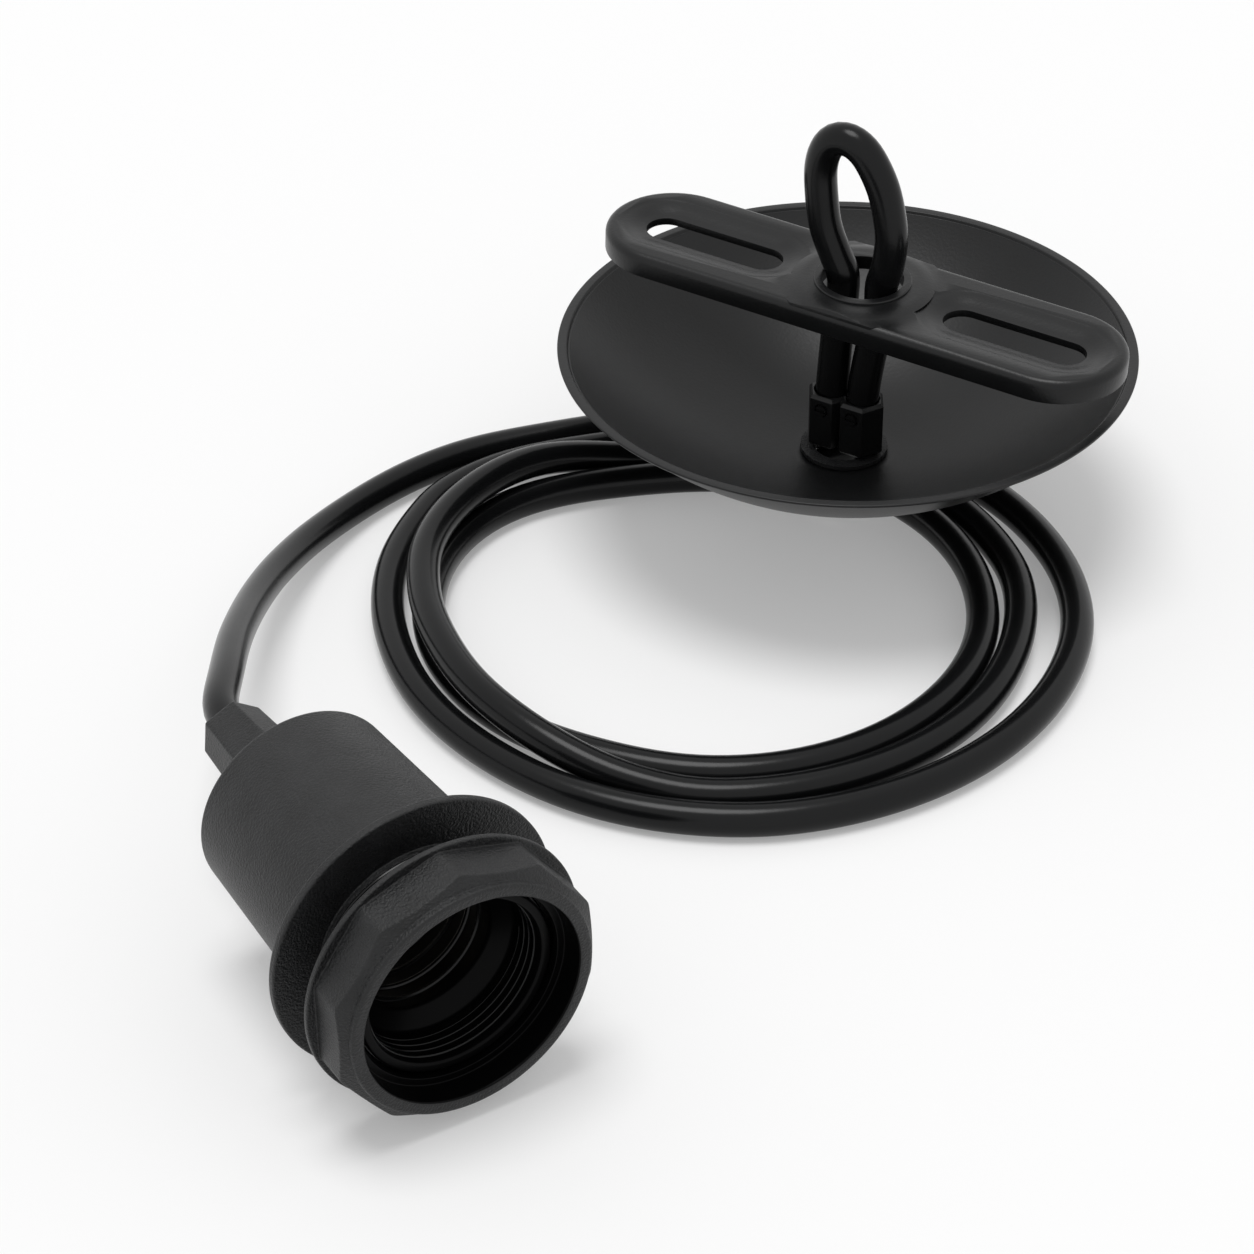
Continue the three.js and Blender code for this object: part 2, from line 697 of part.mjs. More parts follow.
// The holder's pieces stand on its own axis, which then lies down and turns
function holder() {
  const pieces = new THREE.Group();
  pieces.add(
    piece("holder_cap", holderCap(), TEXTURED_PLASTIC),
    piece("holder_skirt", holderSkirt(), TEXTURED_PLASTIC),
    piece("shade_ring", shadeRing(), TEXTURED_PLASTIC),
    piece("cable_grip_nut", gripNut(), TEXTURED_PLASTIC),
    piece("cable_grip_collet", gripCollet(), TEXTURED_PLASTIC),
    piece("contact_carrier", contactCarrier(), WHITE_CERAMIC),
    piece("centre_contact", centreContact(), BRASS),
    piece("side_contact", sideContact(), BRASS),
    piece("terminal_live", terminalBlock(true), BRASS),
    piece("terminal_neutral", terminalBlock(false), BRASS),
    piece("terminal_screw_live", terminalScrew(true), ZINC_STEEL),
    piece("terminal_screw_neutral", terminalScrew(false), ZINC_STEEL),
    piece("sheath_in_grip", sheathInGrip(), CORD_SHEATH),
    piece("core_live", core(true), BROWN_CORE),
    piece("core_neutral", core(false), BLUE_CORE),
  );
  pieces.rotation.x = Math.PI / 2 + HOLDER_TILT;
  const turned = new THREE.Group();
  turned.add(pieces);
  turned.rotation.z = HOLDER_YAW;
  const lowestEdge = FLANGE_RADIUS * Math.cos(HOLDER_TILT) - FLANGE_EDGE * Math.sin(HOLDER_TILT);
  turned.position.set(HOLDER_X, HOLDER_Y, lowestEdge);
  return turned;
}

// Heights in the dish, above the table
const DISH_FLOOR = CANOPY_RIM_HEIGHT - CANOPY_DEPTH;
const BUSH_TOP = DISH_FLOOR + CLEARANCE + BUSH_FLANGE_THICKNESS;
const CLAMP_BOTTOM = BUSH_TOP + CLEARANCE;

// The dish is part of a ball that starts at the flat seat and ends at the step under the lip
function dishArc(offset) {
  const rimRadius = CANOPY_RADIUS - CANOPY_LIP_WIDTH;
  const rise = CANOPY_DEPTH - CANOPY_STEP;
  const span = rimRadius ** 2 - CANOPY_FLAT_RADIUS ** 2;
  const centreHeight = (span + rise ** 2) / (2 * rise);
  const ballRadius = Math.hypot(centreHeight, CANOPY_FLAT_RADIUS);
  const start = Math.asin(CANOPY_FLAT_RADIUS / ballRadius);
  const end = Math.asin(rimRadius / ballRadius);
  return Array.from({ length: CANOPY_ARC_STEPS + 1 }, (_, k) => {
    const angle = THREE.MathUtils.lerp(start, end, k / CANOPY_ARC_STEPS);
    const radius = ballRadius + offset;
    return [radius * Math.sin(angle), DISH_FLOOR + centreHeight - radius * Math.cos(angle)];
  });
}

function canopy() {
  const top = CANOPY_RIM_HEIGHT;
  const lipInner = CANOPY_RADIUS - CANOPY_LIP_WIDTH;
  const profile = [
    [CANOPY_HOLE_RADIUS, DISH_FLOOR - CANOPY_SHEET],
    ...dishArc(CANOPY_SHEET),
    [CANOPY_RADIUS - CANOPY_SHEET / 2, top - CANOPY_SHEET],
    [CANOPY_RADIUS, top - CANOPY_SHEET / 2],
    [CANOPY_RADIUS, top],
    [lipInner + CANOPY_SHEET / 2, top],
    [lipInner + CANOPY_SHEET / 4, top - CANOPY_STEP],
    ...dishArc(0).reverse(),
    [CANOPY_HOLE_RADIUS, DISH_FLOOR],
  ];
  return revolve(profile, CANOPY_FACETS);
}

function canopyBush() {
  const under = DISH_FLOOR - CANOPY_SHEET - CLEARANCE;
  const over = DISH_FLOOR + CLEARANCE;
  const body = CANOPY_HOLE_RADIUS - CLEARANCE;
  return revolve([
    [BUSH_BORE_RADIUS, under - BUSH_FLANGE_THICKNESS],
    [BUSH_FLANGE_RADIUS, under - BUSH_FLANGE_THICKNESS],
    [BUSH_FLANGE_RADIUS, under],
    [body, under],
    [body, over],
    [BUSH_FLANGE_RADIUS, over],
    [BUSH_FLANGE_RADIUS, BUSH_TOP],
    [BUSH_BORE_RADIUS, BUSH_TOP],
  ]);
}

// The raised round about the hole reaches the long edges and lifts them a little
function bracketBoss(halfStraight, endRadius) {
  const cone = revolve(
    [
      [0, -BRACKET_SHEET / 2],
      [BRACKET_BOSS_FOOT, -BRACKET_SHEET / 2],
      [BRACKET_BOSS_FOOT, 0],
      [(BRACKET_BOSS_FOOT + BRACKET_BOSS_RADIUS) / 2, BRACKET_BOSS_HEIGHT / 2],
      [BRACKET_BOSS_RADIUS, BRACKET_BOSS_HEIGHT],
      [0, BRACKET_BOSS_HEIGHT],
    ],
    HOLDER_FACETS,
  );
  const rim = cylinder(
    BRACKET_HOLE_RADIUS + HOLE_RIM_WIDTH,
    0,
    BRACKET_BOSS_HEIGHT + HOLE_RIM_HEIGHT,
    HOLDER_FACETS,
  );
  const within = slotLoft(0, halfStraight, [
    [-BRACKET_SHEET, endRadius - BOSS_FOOT_INSET],
    [0, endRadius - BOSS_FOOT_INSET],
    [BRACKET_BOSS_HEIGHT + THROUGH, endRadius - BOSS_TOP_INSET],
  ]);
  return cone.intersect(within).add(rim);
}

// The pressed dish around a slot, lowered by the sheet's thickness for its underside
function slotDish(side, drop) {
  const slotRadius = SLOT_WIDTH / 2;
  const centre = (side * (SLOT_START + SLOT_END)) / 2;
  const halfLength = (SLOT_END - SLOT_START) / 2 - slotRadius;
  const spread = SLOT_DISH_RADIUS - slotRadius;
  const levels = SLOT_DISH_ROUNDING.map(([down, out]) => [
    -down * SLOT_DISH_DEPTH - drop,
    slotRadius + out * spread + drop / 2,
  ]);
  levels.push([CLEARANCE - drop, SLOT_DISH_RADIUS + drop / 2]);
  return slotLoft(centre, halfLength, levels);
}

function slotHole(side) {
  const slotRadius = SLOT_WIDTH / 2;
  const centre = (side * (SLOT_START + SLOT_END)) / 2;
  const halfLength = (SLOT_END - SLOT_START) / 2 - slotRadius;
  return slotLoft(centre, halfLength, [[-BRACKET_HEIGHT - THROUGH, slotRadius], [THROUGH, slotRadius]]);
}

function ceilingBracket() {
  const endRadius = BRACKET_WIDTH / 2;
  const halfStraight = BRACKET_LENGTH / 2 - endRadius;
  const innerRadius = endRadius - BRACKET_SHEET;
  const crown = CROWN_ROUNDING.map(([up, inward]) => [
    (up - 1) * BRACKET_CROWN,
    endRadius - inward * BRACKET_CROWN,
  ]);
  const outside = slotLoft(0, halfStraight, [[-BRACKET_HEIGHT, endRadius], ...crown]);
  const hollow = slotLoft(0, halfStraight, [
    [-BRACKET_HEIGHT - THROUGH, innerRadius],
    [-BRACKET_SHEET - BRACKET_CROWN / 2, innerRadius],
    [-BRACKET_SHEET, innerRadius - BRACKET_CROWN / 2],
  ]);
  let bracket = outside.subtract(hollow).add(bracketBoss(halfStraight, endRadius));
  for (const side of [1, -1]) {
    bracket = bracket.add(slotDish(side, BRACKET_SHEET)).subtract(slotDish(side, 0)).subtract(slotHole(side));
  }
  const hole = cylinder(
    BRACKET_HOLE_RADIUS,
    -BRACKET_HEIGHT - THROUGH,
    BRACKET_BOSS_HEIGHT + HOLE_RIM_HEIGHT + THROUGH,
    HOLDER_FACETS,
  );
  return bracket
    .subtract(hole)
    .rotate([0, BRACKET_TILT, BRACKET_TURN])
    .translate([BRACKET_X, BRACKET_Y, BRACKET_TOP]);
}

// Where each leg of the loop stands in the clamp, the incoming one first
const LEG_X = [STEM_SHIFT + LEG_SPREAD, STEM_SHIFT - LEG_SPREAD];
const SET_SCREW_HEIGHT = CLAMP_BOTTOM + SET_SCREW_RISE;

function cordClamp() {
  const top = CLAMP_BOTTOM + CLAMP_HEIGHT;
  const six = (radius, z) => polygon(6, radius, z, 0);
  const lobe = loft([
    six(CLAMP_CORNER - CLAMP_EDGE, CLAMP_BOTTOM),
    six(CLAMP_CORNER, CLAMP_BOTTOM + CLAMP_EDGE),
    six(CLAMP_CORNER, top - CLAMP_EDGE),
    six(CLAMP_CORNER - CLAMP_EDGE, top),
  ]);
  const passage = tube(LOOP_POINTS, CORD_BORE_RADIUS, CORD_SIDES, LOOP_STEPS);
  const sleeve = lobe.translate([LEG_X[0], 0, 0]).add(lobe.translate([LEG_X[1], 0, 0]));
  const tailEnd = LOOP_POINTS.at(-1)[2] - CLEARANCE;
  const tailRoom = cylinder(CORD_BORE_RADIUS, tailEnd, top + THROUGH).translate([LEG_X[1], 0, 0]);
  const waist = block([LEG_X[1], LEG_X[0]], [-CORE_RADIUS, CORE_RADIUS], [tailEnd, top + THROUGH]);
  let clamp = sleeve.subtract(passage).subtract(tailRoom).subtract(waist);
  for (const x of LEG_X) {
    const hole = setScrewBody(SET_SCREW_RADIUS + CLEARANCE, 0, CLAMP_CORNER);
    clamp = clamp.subtract(hole.translate([x, 0, 0]));
  }
  return clamp;
}

// A short round body through the clamp's near wall
function setScrewBody(radius, inner, outer) {
  return cylinder(radius, inner, outer)
    .rotate([90, 0, 0])
    .translate([0, 0, SET_SCREW_HEIGHT]);
}

function setScrew(x) {
  const tip = CORD_RADIUS + CLEARANCE;
  const crown = tip + SET_SCREW_LENGTH;
  const reach = SET_SCREW_RADIUS + THROUGH;
  const groove = block(
    [-reach, reach],
    [-crown - THROUGH, -crown + SCREW_SLOT],
    [SET_SCREW_HEIGHT - SCREW_SLOT / 2, SET_SCREW_HEIGHT + SCREW_SLOT / 2],
  );
  return setScrewBody(SET_SCREW_RADIUS, tip, crown).subtract(groove).translate([x, 0, 0]);
}

function cordLoop() {
  return tube(LOOP_POINTS, CORD_RADIUS, CORD_SIDES, LOOP_STEPS);
}

// The canopy's pieces share its axis; the bracket, loop and clamp share one direction
function ceilingEnd() {
  const stem = new THREE.Group();
  stem.add(
    piece("canopy", canopy(), PAINTED_STEEL),
    piece("canopy_bush", canopyBush(), TEXTURED_PLASTIC),
    piece("ceiling_bracket", ceilingBracket(), PAINTED_STEEL),
    piece("cord_loop", cordLoop(), CORD_SHEATH),
    piece("cord_clamp", cordClamp(), PAINTED_STEEL),
    piece("clamp_screw_right", setScrew(LEG_X[0]), PAINTED_STEEL),
    piece("clamp_screw_left", setScrew(LEG_X[1]), PAINTED_STEEL),
  );
  stem.position.set(CANOPY_X, CANOPY_Y, 0);
  stem.rotation.z = STEM_YAW;
  return stem;
}

function aroundCoil(azimuth, radius) {
  const angle = THREE.MathUtils.degToRad(azimuth);
  return new THREE.Vector2(COIL_X + radius * Math.cos(angle), COIL_Y + radius * Math.sin(angle));
}

function coilOutline(points) {
  const line = new THREE.SplineCurve(points.map(([azimuth, radius]) => new THREE.Vector2(azimuth, radius)));
  return line.getPoints(COIL_STEPS).map((p) => aroundCoil(p.x, p.y));
}

// The coil's outer form: a flat ring of its three turns, stepped where the lead joins and the riser leaves
function cordCoil() {
  const ring = new THREE.Shape(coilOutline(COIL_OUTER));
  ring.holes.push(new THREE.Path(coilOutline(COIL_INNER).reverse()));
  const flat = solid(new THREE.ExtrudeGeometry(ring, { depth: CORD_DIAMETER, bevelEnabled: false }));
  const arc = (radius) =>
    Array.from({ length: CROSSING_STEPS + 1 }, (_, k) =>
      aroundCoil(THREE.MathUtils.lerp(CROSSING_START, CROSSING_END, k / CROSSING_STEPS), radius),
    );
  const band = new THREE.Shape([...arc(CROSSING_INNER), ...arc(CROSSING_OUTER).reverse()]);
  const height = CORD_DIAMETER * 2 - CLEARANCE;
  return flat.add(solid(new THREE.ExtrudeGeometry(band, { depth: height, bevelEnabled: false })));
}

function cordRiser() {
  const points = RISER_POINTS.map(([azimuth, radius, z]) => [...aroundCoil(azimuth, radius).toArray(), z]);
  return tube(points, CORD_RADIUS, CORD_SIDES, RISER_STEPS);
}

// The rigid pieces' box is centred over the origin
const CENTRING_SHIFT = new THREE.Vector3(0.75, -0.1, 0);

const root = new THREE.Group();
root.position.copy(CENTRING_SHIFT);
root.add(
  holder(),
  ceilingEnd(),
  piece("cord_lead", tube(LEAD_POINTS, CORD_RADIUS, CORD_SIDES, LEAD_STEPS), CORD_SHEATH),
  piece("cord_coil", cordCoil(), CORD_SHEATH),
  piece("cord_riser", cordRiser(), CORD_SHEATH),
);

export default root;
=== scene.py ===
"""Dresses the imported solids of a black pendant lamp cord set: holder, coiled cord, canopy and bracket."""

import json
import math

import bmesh
import bpy
from mathutils import Matrix, Vector


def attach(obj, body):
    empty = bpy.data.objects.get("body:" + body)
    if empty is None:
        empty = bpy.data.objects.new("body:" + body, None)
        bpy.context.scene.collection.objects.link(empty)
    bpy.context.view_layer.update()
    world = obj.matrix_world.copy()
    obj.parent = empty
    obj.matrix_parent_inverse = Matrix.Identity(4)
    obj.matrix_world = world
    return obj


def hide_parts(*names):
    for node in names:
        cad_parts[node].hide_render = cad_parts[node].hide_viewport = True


bl_info = {
    "name": "Pendant Cord Set",
    "version": (1, 0, 0),
    "blender": (4, 5, 0),
    "location": "View3D > Sidebar > Cord Set",
    "description": "Builds the smooth, finished pieces of a pendant lamp cord set on its packed solids",
    "category": "Object",
}

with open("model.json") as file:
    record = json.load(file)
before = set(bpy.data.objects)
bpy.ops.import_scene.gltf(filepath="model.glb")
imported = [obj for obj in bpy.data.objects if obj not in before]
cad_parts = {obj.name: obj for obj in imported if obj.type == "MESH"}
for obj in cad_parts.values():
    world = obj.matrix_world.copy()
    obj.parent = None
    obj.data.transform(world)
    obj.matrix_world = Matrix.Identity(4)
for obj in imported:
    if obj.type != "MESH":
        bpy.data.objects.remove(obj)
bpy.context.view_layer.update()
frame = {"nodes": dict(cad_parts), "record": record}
MM = 0.001

# Places shared with the solids, in millimetres and degrees
HOLDER_CENTRE = (-52.05, -105.35, 28.71)
HOLDER_YAW = 32.24
HOLDER_TILT = 1.57
STEM_CENTRE = (32.65, 74.4, 0.0)
STEM_YAW = -30.6
BRACKET_CENTRE = (2.29, 1.5, 57.0)
BRACKET_TURN = 0.5
BRACKET_TILT = 1.3
COIL_CENTRE = (1.9, 32.45)

# The cord's way down from the grip nut to the table
LEAD = [
    (-89.54, -45.91, 30.65), (-90.95, -43.5, 30.7), (-91.9, -40.6, 30.5), (-92.25, -37.5, 30.1),
    (-92.3, -31.4, 28.9), (-92.2, -24.2, 27.3), (-92.3, -17.0, 25.4), (-92.3, -9.9, 23.5),
    (-92.2, -2.8, 21.4), (-91.8, 4.3, 19.3), (-91.3, 11.3, 17.1), (-90.6, 18.4, 15.0),
    (-89.6, 25.4, 13.0), (-88.4, 32.4, 11.1), (-86.7, 39.4, 9.3), (-84.7, 46.3, 7.6),
    (-82.2, 53.1, 6.2), (-79.1, 59.7, 5.0), (-75.5, 66.1, 4.1), (-71.3, 72.1, 3.6),
    (-66.5, 77.7, 3.5), (-61.2, 82.8, 3.5), (-55.4, 87.4, 3.5), (-49.2, 91.3, 3.5),
    (-42.6, 94.3, 3.5), (-35.6, 96.7, 3.5),
]

# The three turns of the coil and the rise to the canopy: (azimuth, radius, height) about the coil's centre
TURNS = [
    (115, 73.2, 3.5), (105, 72.2, 3.5), (95, 72.2, 3.5), (80, 73, 3.5), (65, 74.3, 3.5), (50, 75.5, 3.5),
    (35, 76.5, 3.5), (20, 77.3, 3.5), (8, 77.9, 3.5), (-5, 78, 3.5), (-20, 77, 3.5), (-39, 75.6, 3.5),
    (-59, 74.2, 3.5), (-79, 73, 3.5), (-89, 72.0, 3.5), (-108, 69.8, 3.5), (-133, 66.6, 3.5),
    (-163, 65.3, 3.5), (-180, 66.1, 3.5), (-195, 67.6, 3.5), (-209, 69, 3.5), (-217, 70.3, 3.5),
    (-231, 69, 3.5), (-245, 65.9, 3.5), (-255, 64.8, 3.5), (-265, 64.8, 3.5), (-280, 65.6, 3.5),
    (-295, 66.3, 3.5), (-310, 66.7, 3.5), (-325, 66.9, 3.5), (-340, 67, 3.5), (-351, 67.1, 3.5),
    (-364, 66.2, 3.5), (-377, 65.5, 3.5), (-390, 65.4, 3.5), (-420, 65.1, 3.5), (-449, 64.4, 3.5),
    (-460, 63.6, 4.4), (-470, 62.9, 6.1), (-480, 62, 8.3), (-493, 60.5, 9.9), (-510, 58.6, 10.5),
    (-521, 57.9, 10.6), (-540, 58.4, 10.6), (-550, 59.3, 10.6), (-565, 59.7, 10.6), (-583, 59.5, 10.4),
    (-595, 59.2, 9.1), (-605, 58.8, 6.6), (-615, 57.7, 4.5), (-625, 57.5, 3.5), (-640, 58.2, 3.5),
    (-655, 58.8, 3.5), (-670, 59, 3.5), (-685, 59, 3.5), (-700, 58.8, 3.5), (-717, 58.5, 3.5),
    (-731, 58.4, 3.5), (-754, 58, 3.5), (-783, 57.8, 3.5), (-809, 57.1, 3.5), (-832, 55.7, 3.5),
    (-850, 56.3, 3.5), (-870, 57, 3.5), (-900, 57.6, 3.5), (-925, 58, 3.5), (-943, 56.5, 3.5),
    (-960, 52.8, 3.5), (-972, 50.6, 3.5), (-985, 50, 3.5), (-1000, 50.6, 3.5),
    (-1005, 50.8, 3.9), (-1010, 51, 4.9), (-1015, 51.3, 6.8), (-1019, 51.5, 9), (-1022, 51.7, 11.3),
    (-1023.93, 51.85, 13),
]

# The held loop, as (along the bracket, across it, height) from the canopy's axis
LOOP = [
    (-1.9, 0, 13.25), (0, 0, 15.5), (1.9, 0, 18.6), (3.2, 0, 22.3), (3.85, 0.1, 26.8), (4.3, 0.3, 34),
    (5.6, 0.8, 44), (6.7, 1.3, 52), (6.8, 1.4, 58), (7.9, 1.3, 62), (8.6, 1.3, 67), (8.5, 1.3, 72.3),
    (6.5, 1.3, 80.6), (2.9, 1.3, 87), (-0.6, 1.3, 89.7), (-4, 1.3, 89.8), (-6.5, 1.3, 87.8),
    (-8, 1.3, 83.8), (-8.2, 1.3, 78.5), (-6.9, 1.3, 69), (-4.1, 1.4, 62), (-2.3, 1.4, 58),
    (-2.3, 1.3, 52), (-2.9, 0.8, 44), (-3.3, 0.3, 34), (-3.45, 0, 28), (-3.45, 0, 24.2),
]


def holder_place():
    """Millimetres along the holder's own axis, turned to where it lies."""
    turn = Matrix.Rotation(math.radians(HOLDER_YAW), 4, "Z")
    tip = Matrix.Rotation(math.radians(90 + HOLDER_TILT), 4, "X")
    return Matrix.Translation(Vector(HOLDER_CENTRE) * MM) @ turn @ tip @ Matrix.Scale(MM, 4)


def stem_place():
    """Millimetres about the canopy's axis, turned along the bracket."""
    turn = Matrix.Rotation(math.radians(STEM_YAW), 4, "Z")
    return Matrix.Translation(Vector(STEM_CENTRE) * MM) @ turn @ Matrix.Scale(MM, 4)


def bracket_place():
    """Millimetres about the bracket's own face, a little turned and tilted as it hangs on the loop."""
    turn = Matrix.Rotation(math.radians(BRACKET_TURN), 4, "Z")
    tilt = Matrix.Rotation(math.radians(BRACKET_TILT), 4, "Y")
    return stem_place() @ Matrix.Translation(BRACKET_CENTRE) @ turn @ tilt


# Shapes


def rounded(corners, steps=5):
    """A closed profile of (x, y, rounding) corners as points, each corner drawn as a short curve."""
    points = []
    side_share = 0.45
    count = len(corners)
    for i, (x, y, rounding) in enumerate(corners):
        here = Vector((x, y))
        if rounding <= 0:
            points.append(here)
            continue
        before = Vector(corners[i - 1][:2]) - here
        after = Vector(corners[(i + 1) % count][:2]) - here
        start = here + before.normalized() * min(rounding, before.length * side_share)
        end = here + after.normalized() * min(rounding, after.length * side_share)
        for k in range(steps + 1):
            t = k / steps
            points.append(start * (1 - t) ** 2 + here * 2 * t * (1 - t) + end * t * t)
    return points


def turned_grid(profile_at, angles, closed):
    """Vertices and faces of a profile carried about Z; profile_at gives the points at an angle."""
    rings = [profile_at(a) for a in angles]
    size = len(rings[0])
    vertices = [
        (p.x * math.cos(a), p.x * math.sin(a), p.y) for a, ring in zip(angles, rings) for p in ring
    ]
    faces = []
    last = len(rings) if closed else len(rings) - 1
    for i in range(last):
        j = (i + 1) % len(rings)
        for k in range(size):
            n = (k + 1) % size
            faces.append((i * size + k, j * size + k, j * size + n, i * size + n))
    return vertices, faces


def lathe(corners, segments, steps=5):
    """A closed profile turned once about Z."""
    points = rounded(corners, steps)
    angles = [2 * math.pi * i / segments for i in range(segments)]
    return turned_grid(lambda a: points, angles, True)


def catmull_rom(points, steps):
    """A smooth line through the points, with steps pieces between two of them."""
    line = [Vector(p) for p in points]
    line = [line[0] * 2 - line[1], *line, line[-1] * 2 - line[-2]]
    found = []
    for a, b, c, d in zip(line, line[1:], line[2:], line[3:]):
        for k in range(steps):
            t = k / steps
            slope = (c - a) * t
            bend = (a * 2 - b * 5 + c * 4 - d) * t**2
            twist = (b * 3 - a - c * 3 + d) * t**3
            found.append((b * 2 + slope + bend + twist) / 2)
    found.append(line[-2].copy())
    return found


def evenly(line, spacing):
    """The same line with points about one spacing apart."""
    along = [0.0]
    for a, b in zip(line, line[1:]):
        along.append(along[-1] + (b - a).length)
    count = max(2, round(along[-1] / spacing))
    found = []
    j = 0
    for k in range(count + 1):
        at = along[-1] * k / count
        while j < len(line) - 2 and along[j + 1] < at:
            j += 1
        share = (at - along[j]) / max(along[j + 1] - along[j], 1e-9)
        found.append(line[j].lerp(line[j + 1], min(max(share, 0), 1)))
    return found


def tube(line, radius, sides):
    """A round tube along a line, closed by a short narrower step at each end."""
    tangents = [
        (line[min(i + 1, len(line) - 1)] - line[max(i - 1, 0)]).normalized() for i in range(len(line))
    ]
    across = tangents[0].orthogonal().normalized()
    end_rise = radius * 0.12
    end_radius = radius * 0.72
    vertices = []
    rows = []
    for i, (p, t) in enumerate(zip(line, tangents)):
        across = (across - t * across.dot(t)).normalized()
        up = t.cross(across)
        if i == 0:
            rows.append((p - t * end_rise, end_radius, across, up))
        rows.append((p, radius, across, up))
        if i == len(line) - 1:
            rows.append((p + t * end_rise, end_radius, across, up))
    for p, r, x, y in rows:
        for k in range(sides):
            a = 2 * math.pi * k / sides
            vertices.append(p + x * r * math.cos(a) + y * r * math.sin(a))
    faces = []
    for i in range(len(rows) - 1):
        for k in range(sides):
            n = (k + 1) % sides
            faces.append((i * sides + k, i * sides + n, (i + 1) * sides + n, (i + 1) * sides + k))
    last = (len(rows) - 1) * sides
    faces.append(tuple(range(sides - 1, -1, -1)))
    faces.append(tuple(last + k for k in range(sides)))
    return vertices, faces


def stadium(half_length, radius, z, centre=0.0, steps=32):
    """A level outline of two half circles joined by straights along X."""
    points = []
    for side in (1, -1):
        for k in range(steps + 1):
            a = -math.pi / 2 + math.pi * k / steps
            x = centre + side * (half_length + radius * math.cos(a))
            points.append((x, side * radius * math.sin(a), z))
    return points


def skinned(outlines):
    """A closed solid through level outlines of one count, listed upwards."""
    size = len(outlines[0])
    vertices = [p for outline in outlines for p in outline]
    faces = []
    for i in range(len(outlines) - 1):
        for k in range(size):
            n = (k + 1) % size
            faces.append((i * size + k, i * size + n, (i + 1) * size + n, (i + 1) * size + k))
    faces.append(tuple(range(size - 1, -1, -1)))
    top = (len(outlines) - 1) * size
    faces.append(tuple(top + k for k in range(size)))
    return vertices, faces


def lathe_solid(levels):
    """A solid turned from (radius, height) levels, closed below and above."""
    segments = 128
    angles = [2 * math.pi * k / segments for k in range(segments)]
    rows = []
    for radius, z in levels:
        rows.append([(radius * math.cos(a), radius * math.sin(a), z) for a in angles])
    return skinned(rows)


def soft_side(corner, half, softness, angle):
    """Radius of a many-sided form at an angle from the middle of a flat, with its corners a little soft."""
    flat = corner * math.cos(half)
    near = flat / math.cos(angle)
    far = flat / math.cos(2 * half - abs(angle))
    return near - softness * math.log(1 + math.exp((near - far) / softness))


def sector(profile_at, half, count):
    """The stretch of a many-sided form over one flat, from corner to corner."""
    angles = [half * (2 * k / count - 1) for k in range(count + 1)]
    return turned_grid(profile_at, angles, False)


# Objects


def link(name, mesh):
    """A new object of the mesh, in the scene."""
    made = bpy.data.objects.new(name, mesh)
    bpy.context.scene.collection.objects.link(made)
    return made


def face_outwards(mesh):
    """Turns the faces of a mesh outwards, all one way."""
    work = bmesh.new()
    work.from_mesh(mesh)
    bmesh.ops.recalc_face_normals(work, faces=work.faces)
    work.to_mesh(mesh)
    work.free()


def raw_object(name, shape, place=None):
    """A mesh object of a shape, with its place in the mesh and its faces outwards."""
    vertices, faces = shape
    mesh = bpy.data.meshes.new(name)
    mesh.from_pydata([tuple(v) for v in vertices], [], faces)
    face_outwards(mesh)
    if place is not None:
        mesh.transform(place)
    return link(name, mesh)


def smooth(made, degrees):
    """Smooth shading, with edges sharper than the angle kept crisp."""
    made.data.polygons.foreach_set("use_smooth", [True] * len(made.data.polygons))
    made.data.set_sharp_from_angle(angle=math.radians(degrees))


def baked(made, name, place=None):
    """The object with its modifiers worked in, as one plain mesh at the origin."""
    graph = bpy.context.evaluated_depsgraph_get()
    mesh = bpy.data.meshes.new_from_object(made.evaluated_get(graph))
    mesh.name = name
    bpy.data.objects.remove(made)
    if place is not None:
        mesh.transform(place)
    return link(name, mesh)


def finished(made, material, nodes, degrees=32):
    """Gives a piece its finish, its place on the frame and the solids that it stands for."""
    made.data.materials.clear()
    made.data.materials.append(material)
    smooth(made, degrees)
    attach(made, "root")
    if nodes:
        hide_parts(*nodes)


def paint_inner_shade(made, place, radius, material):
    """Gives the faces nearer to a piece's own axis than the radius a second finish, darker and nearly
    without gloss: painted shade inside the bore.
    """
    made.data.materials.append(material)
    own = place.inverted()
    for face in made.data.polygons:
        centre = own @ face.center
        if math.hypot(centre.x, centre.y) < radius:
            face.material_index = 1


def cut(made, other, operation="DIFFERENCE"):
    """Cuts another form out of a piece, joins it to the piece, or keeps only what they share."""
    step = made.modifiers.new("Cut", "BOOLEAN")
    step.operation = operation
    step.solver = "EXACT"
    step.object = other
    graph = bpy.context.evaluated_depsgraph_get()
    mesh = bpy.data.meshes.new_from_object(made.evaluated_get(graph))
    made.modifiers.clear()
    made.data = mesh
    bpy.data.objects.remove(other)


def softened(made, width, degrees=34):
    """Small round edges on every corner sharper than the angle."""
    edge = made.modifiers.new("Edges", "BEVEL")
    edge.width = width
    edge.segments = 3
    edge.limit_method = "ANGLE"
    edge.angle_limit = math.radians(degrees)
    edge.use_clamp_overlap = True


# Geometry Nodes


def node_tree(name, inputs):
    """A new geometry tree with a geometry input, named inputs and a geometry output."""
    tree = bpy.data.node_groups.new(name, "GeometryNodeTree")
    tree.interface.new_socket(name="Geometry", in_out="INPUT", socket_type="NodeSocketGeometry")
    for label, kind in inputs:
        tree.interface.new_socket(name=label, in_out="INPUT", socket_type=kind)
    tree.interface.new_socket(name="Geometry", in_out="OUTPUT", socket_type="NodeSocketGeometry")
    start = tree.nodes.new("NodeGroupInput")
    end = tree.nodes.new("NodeGroupOutput")
    return tree, start, end


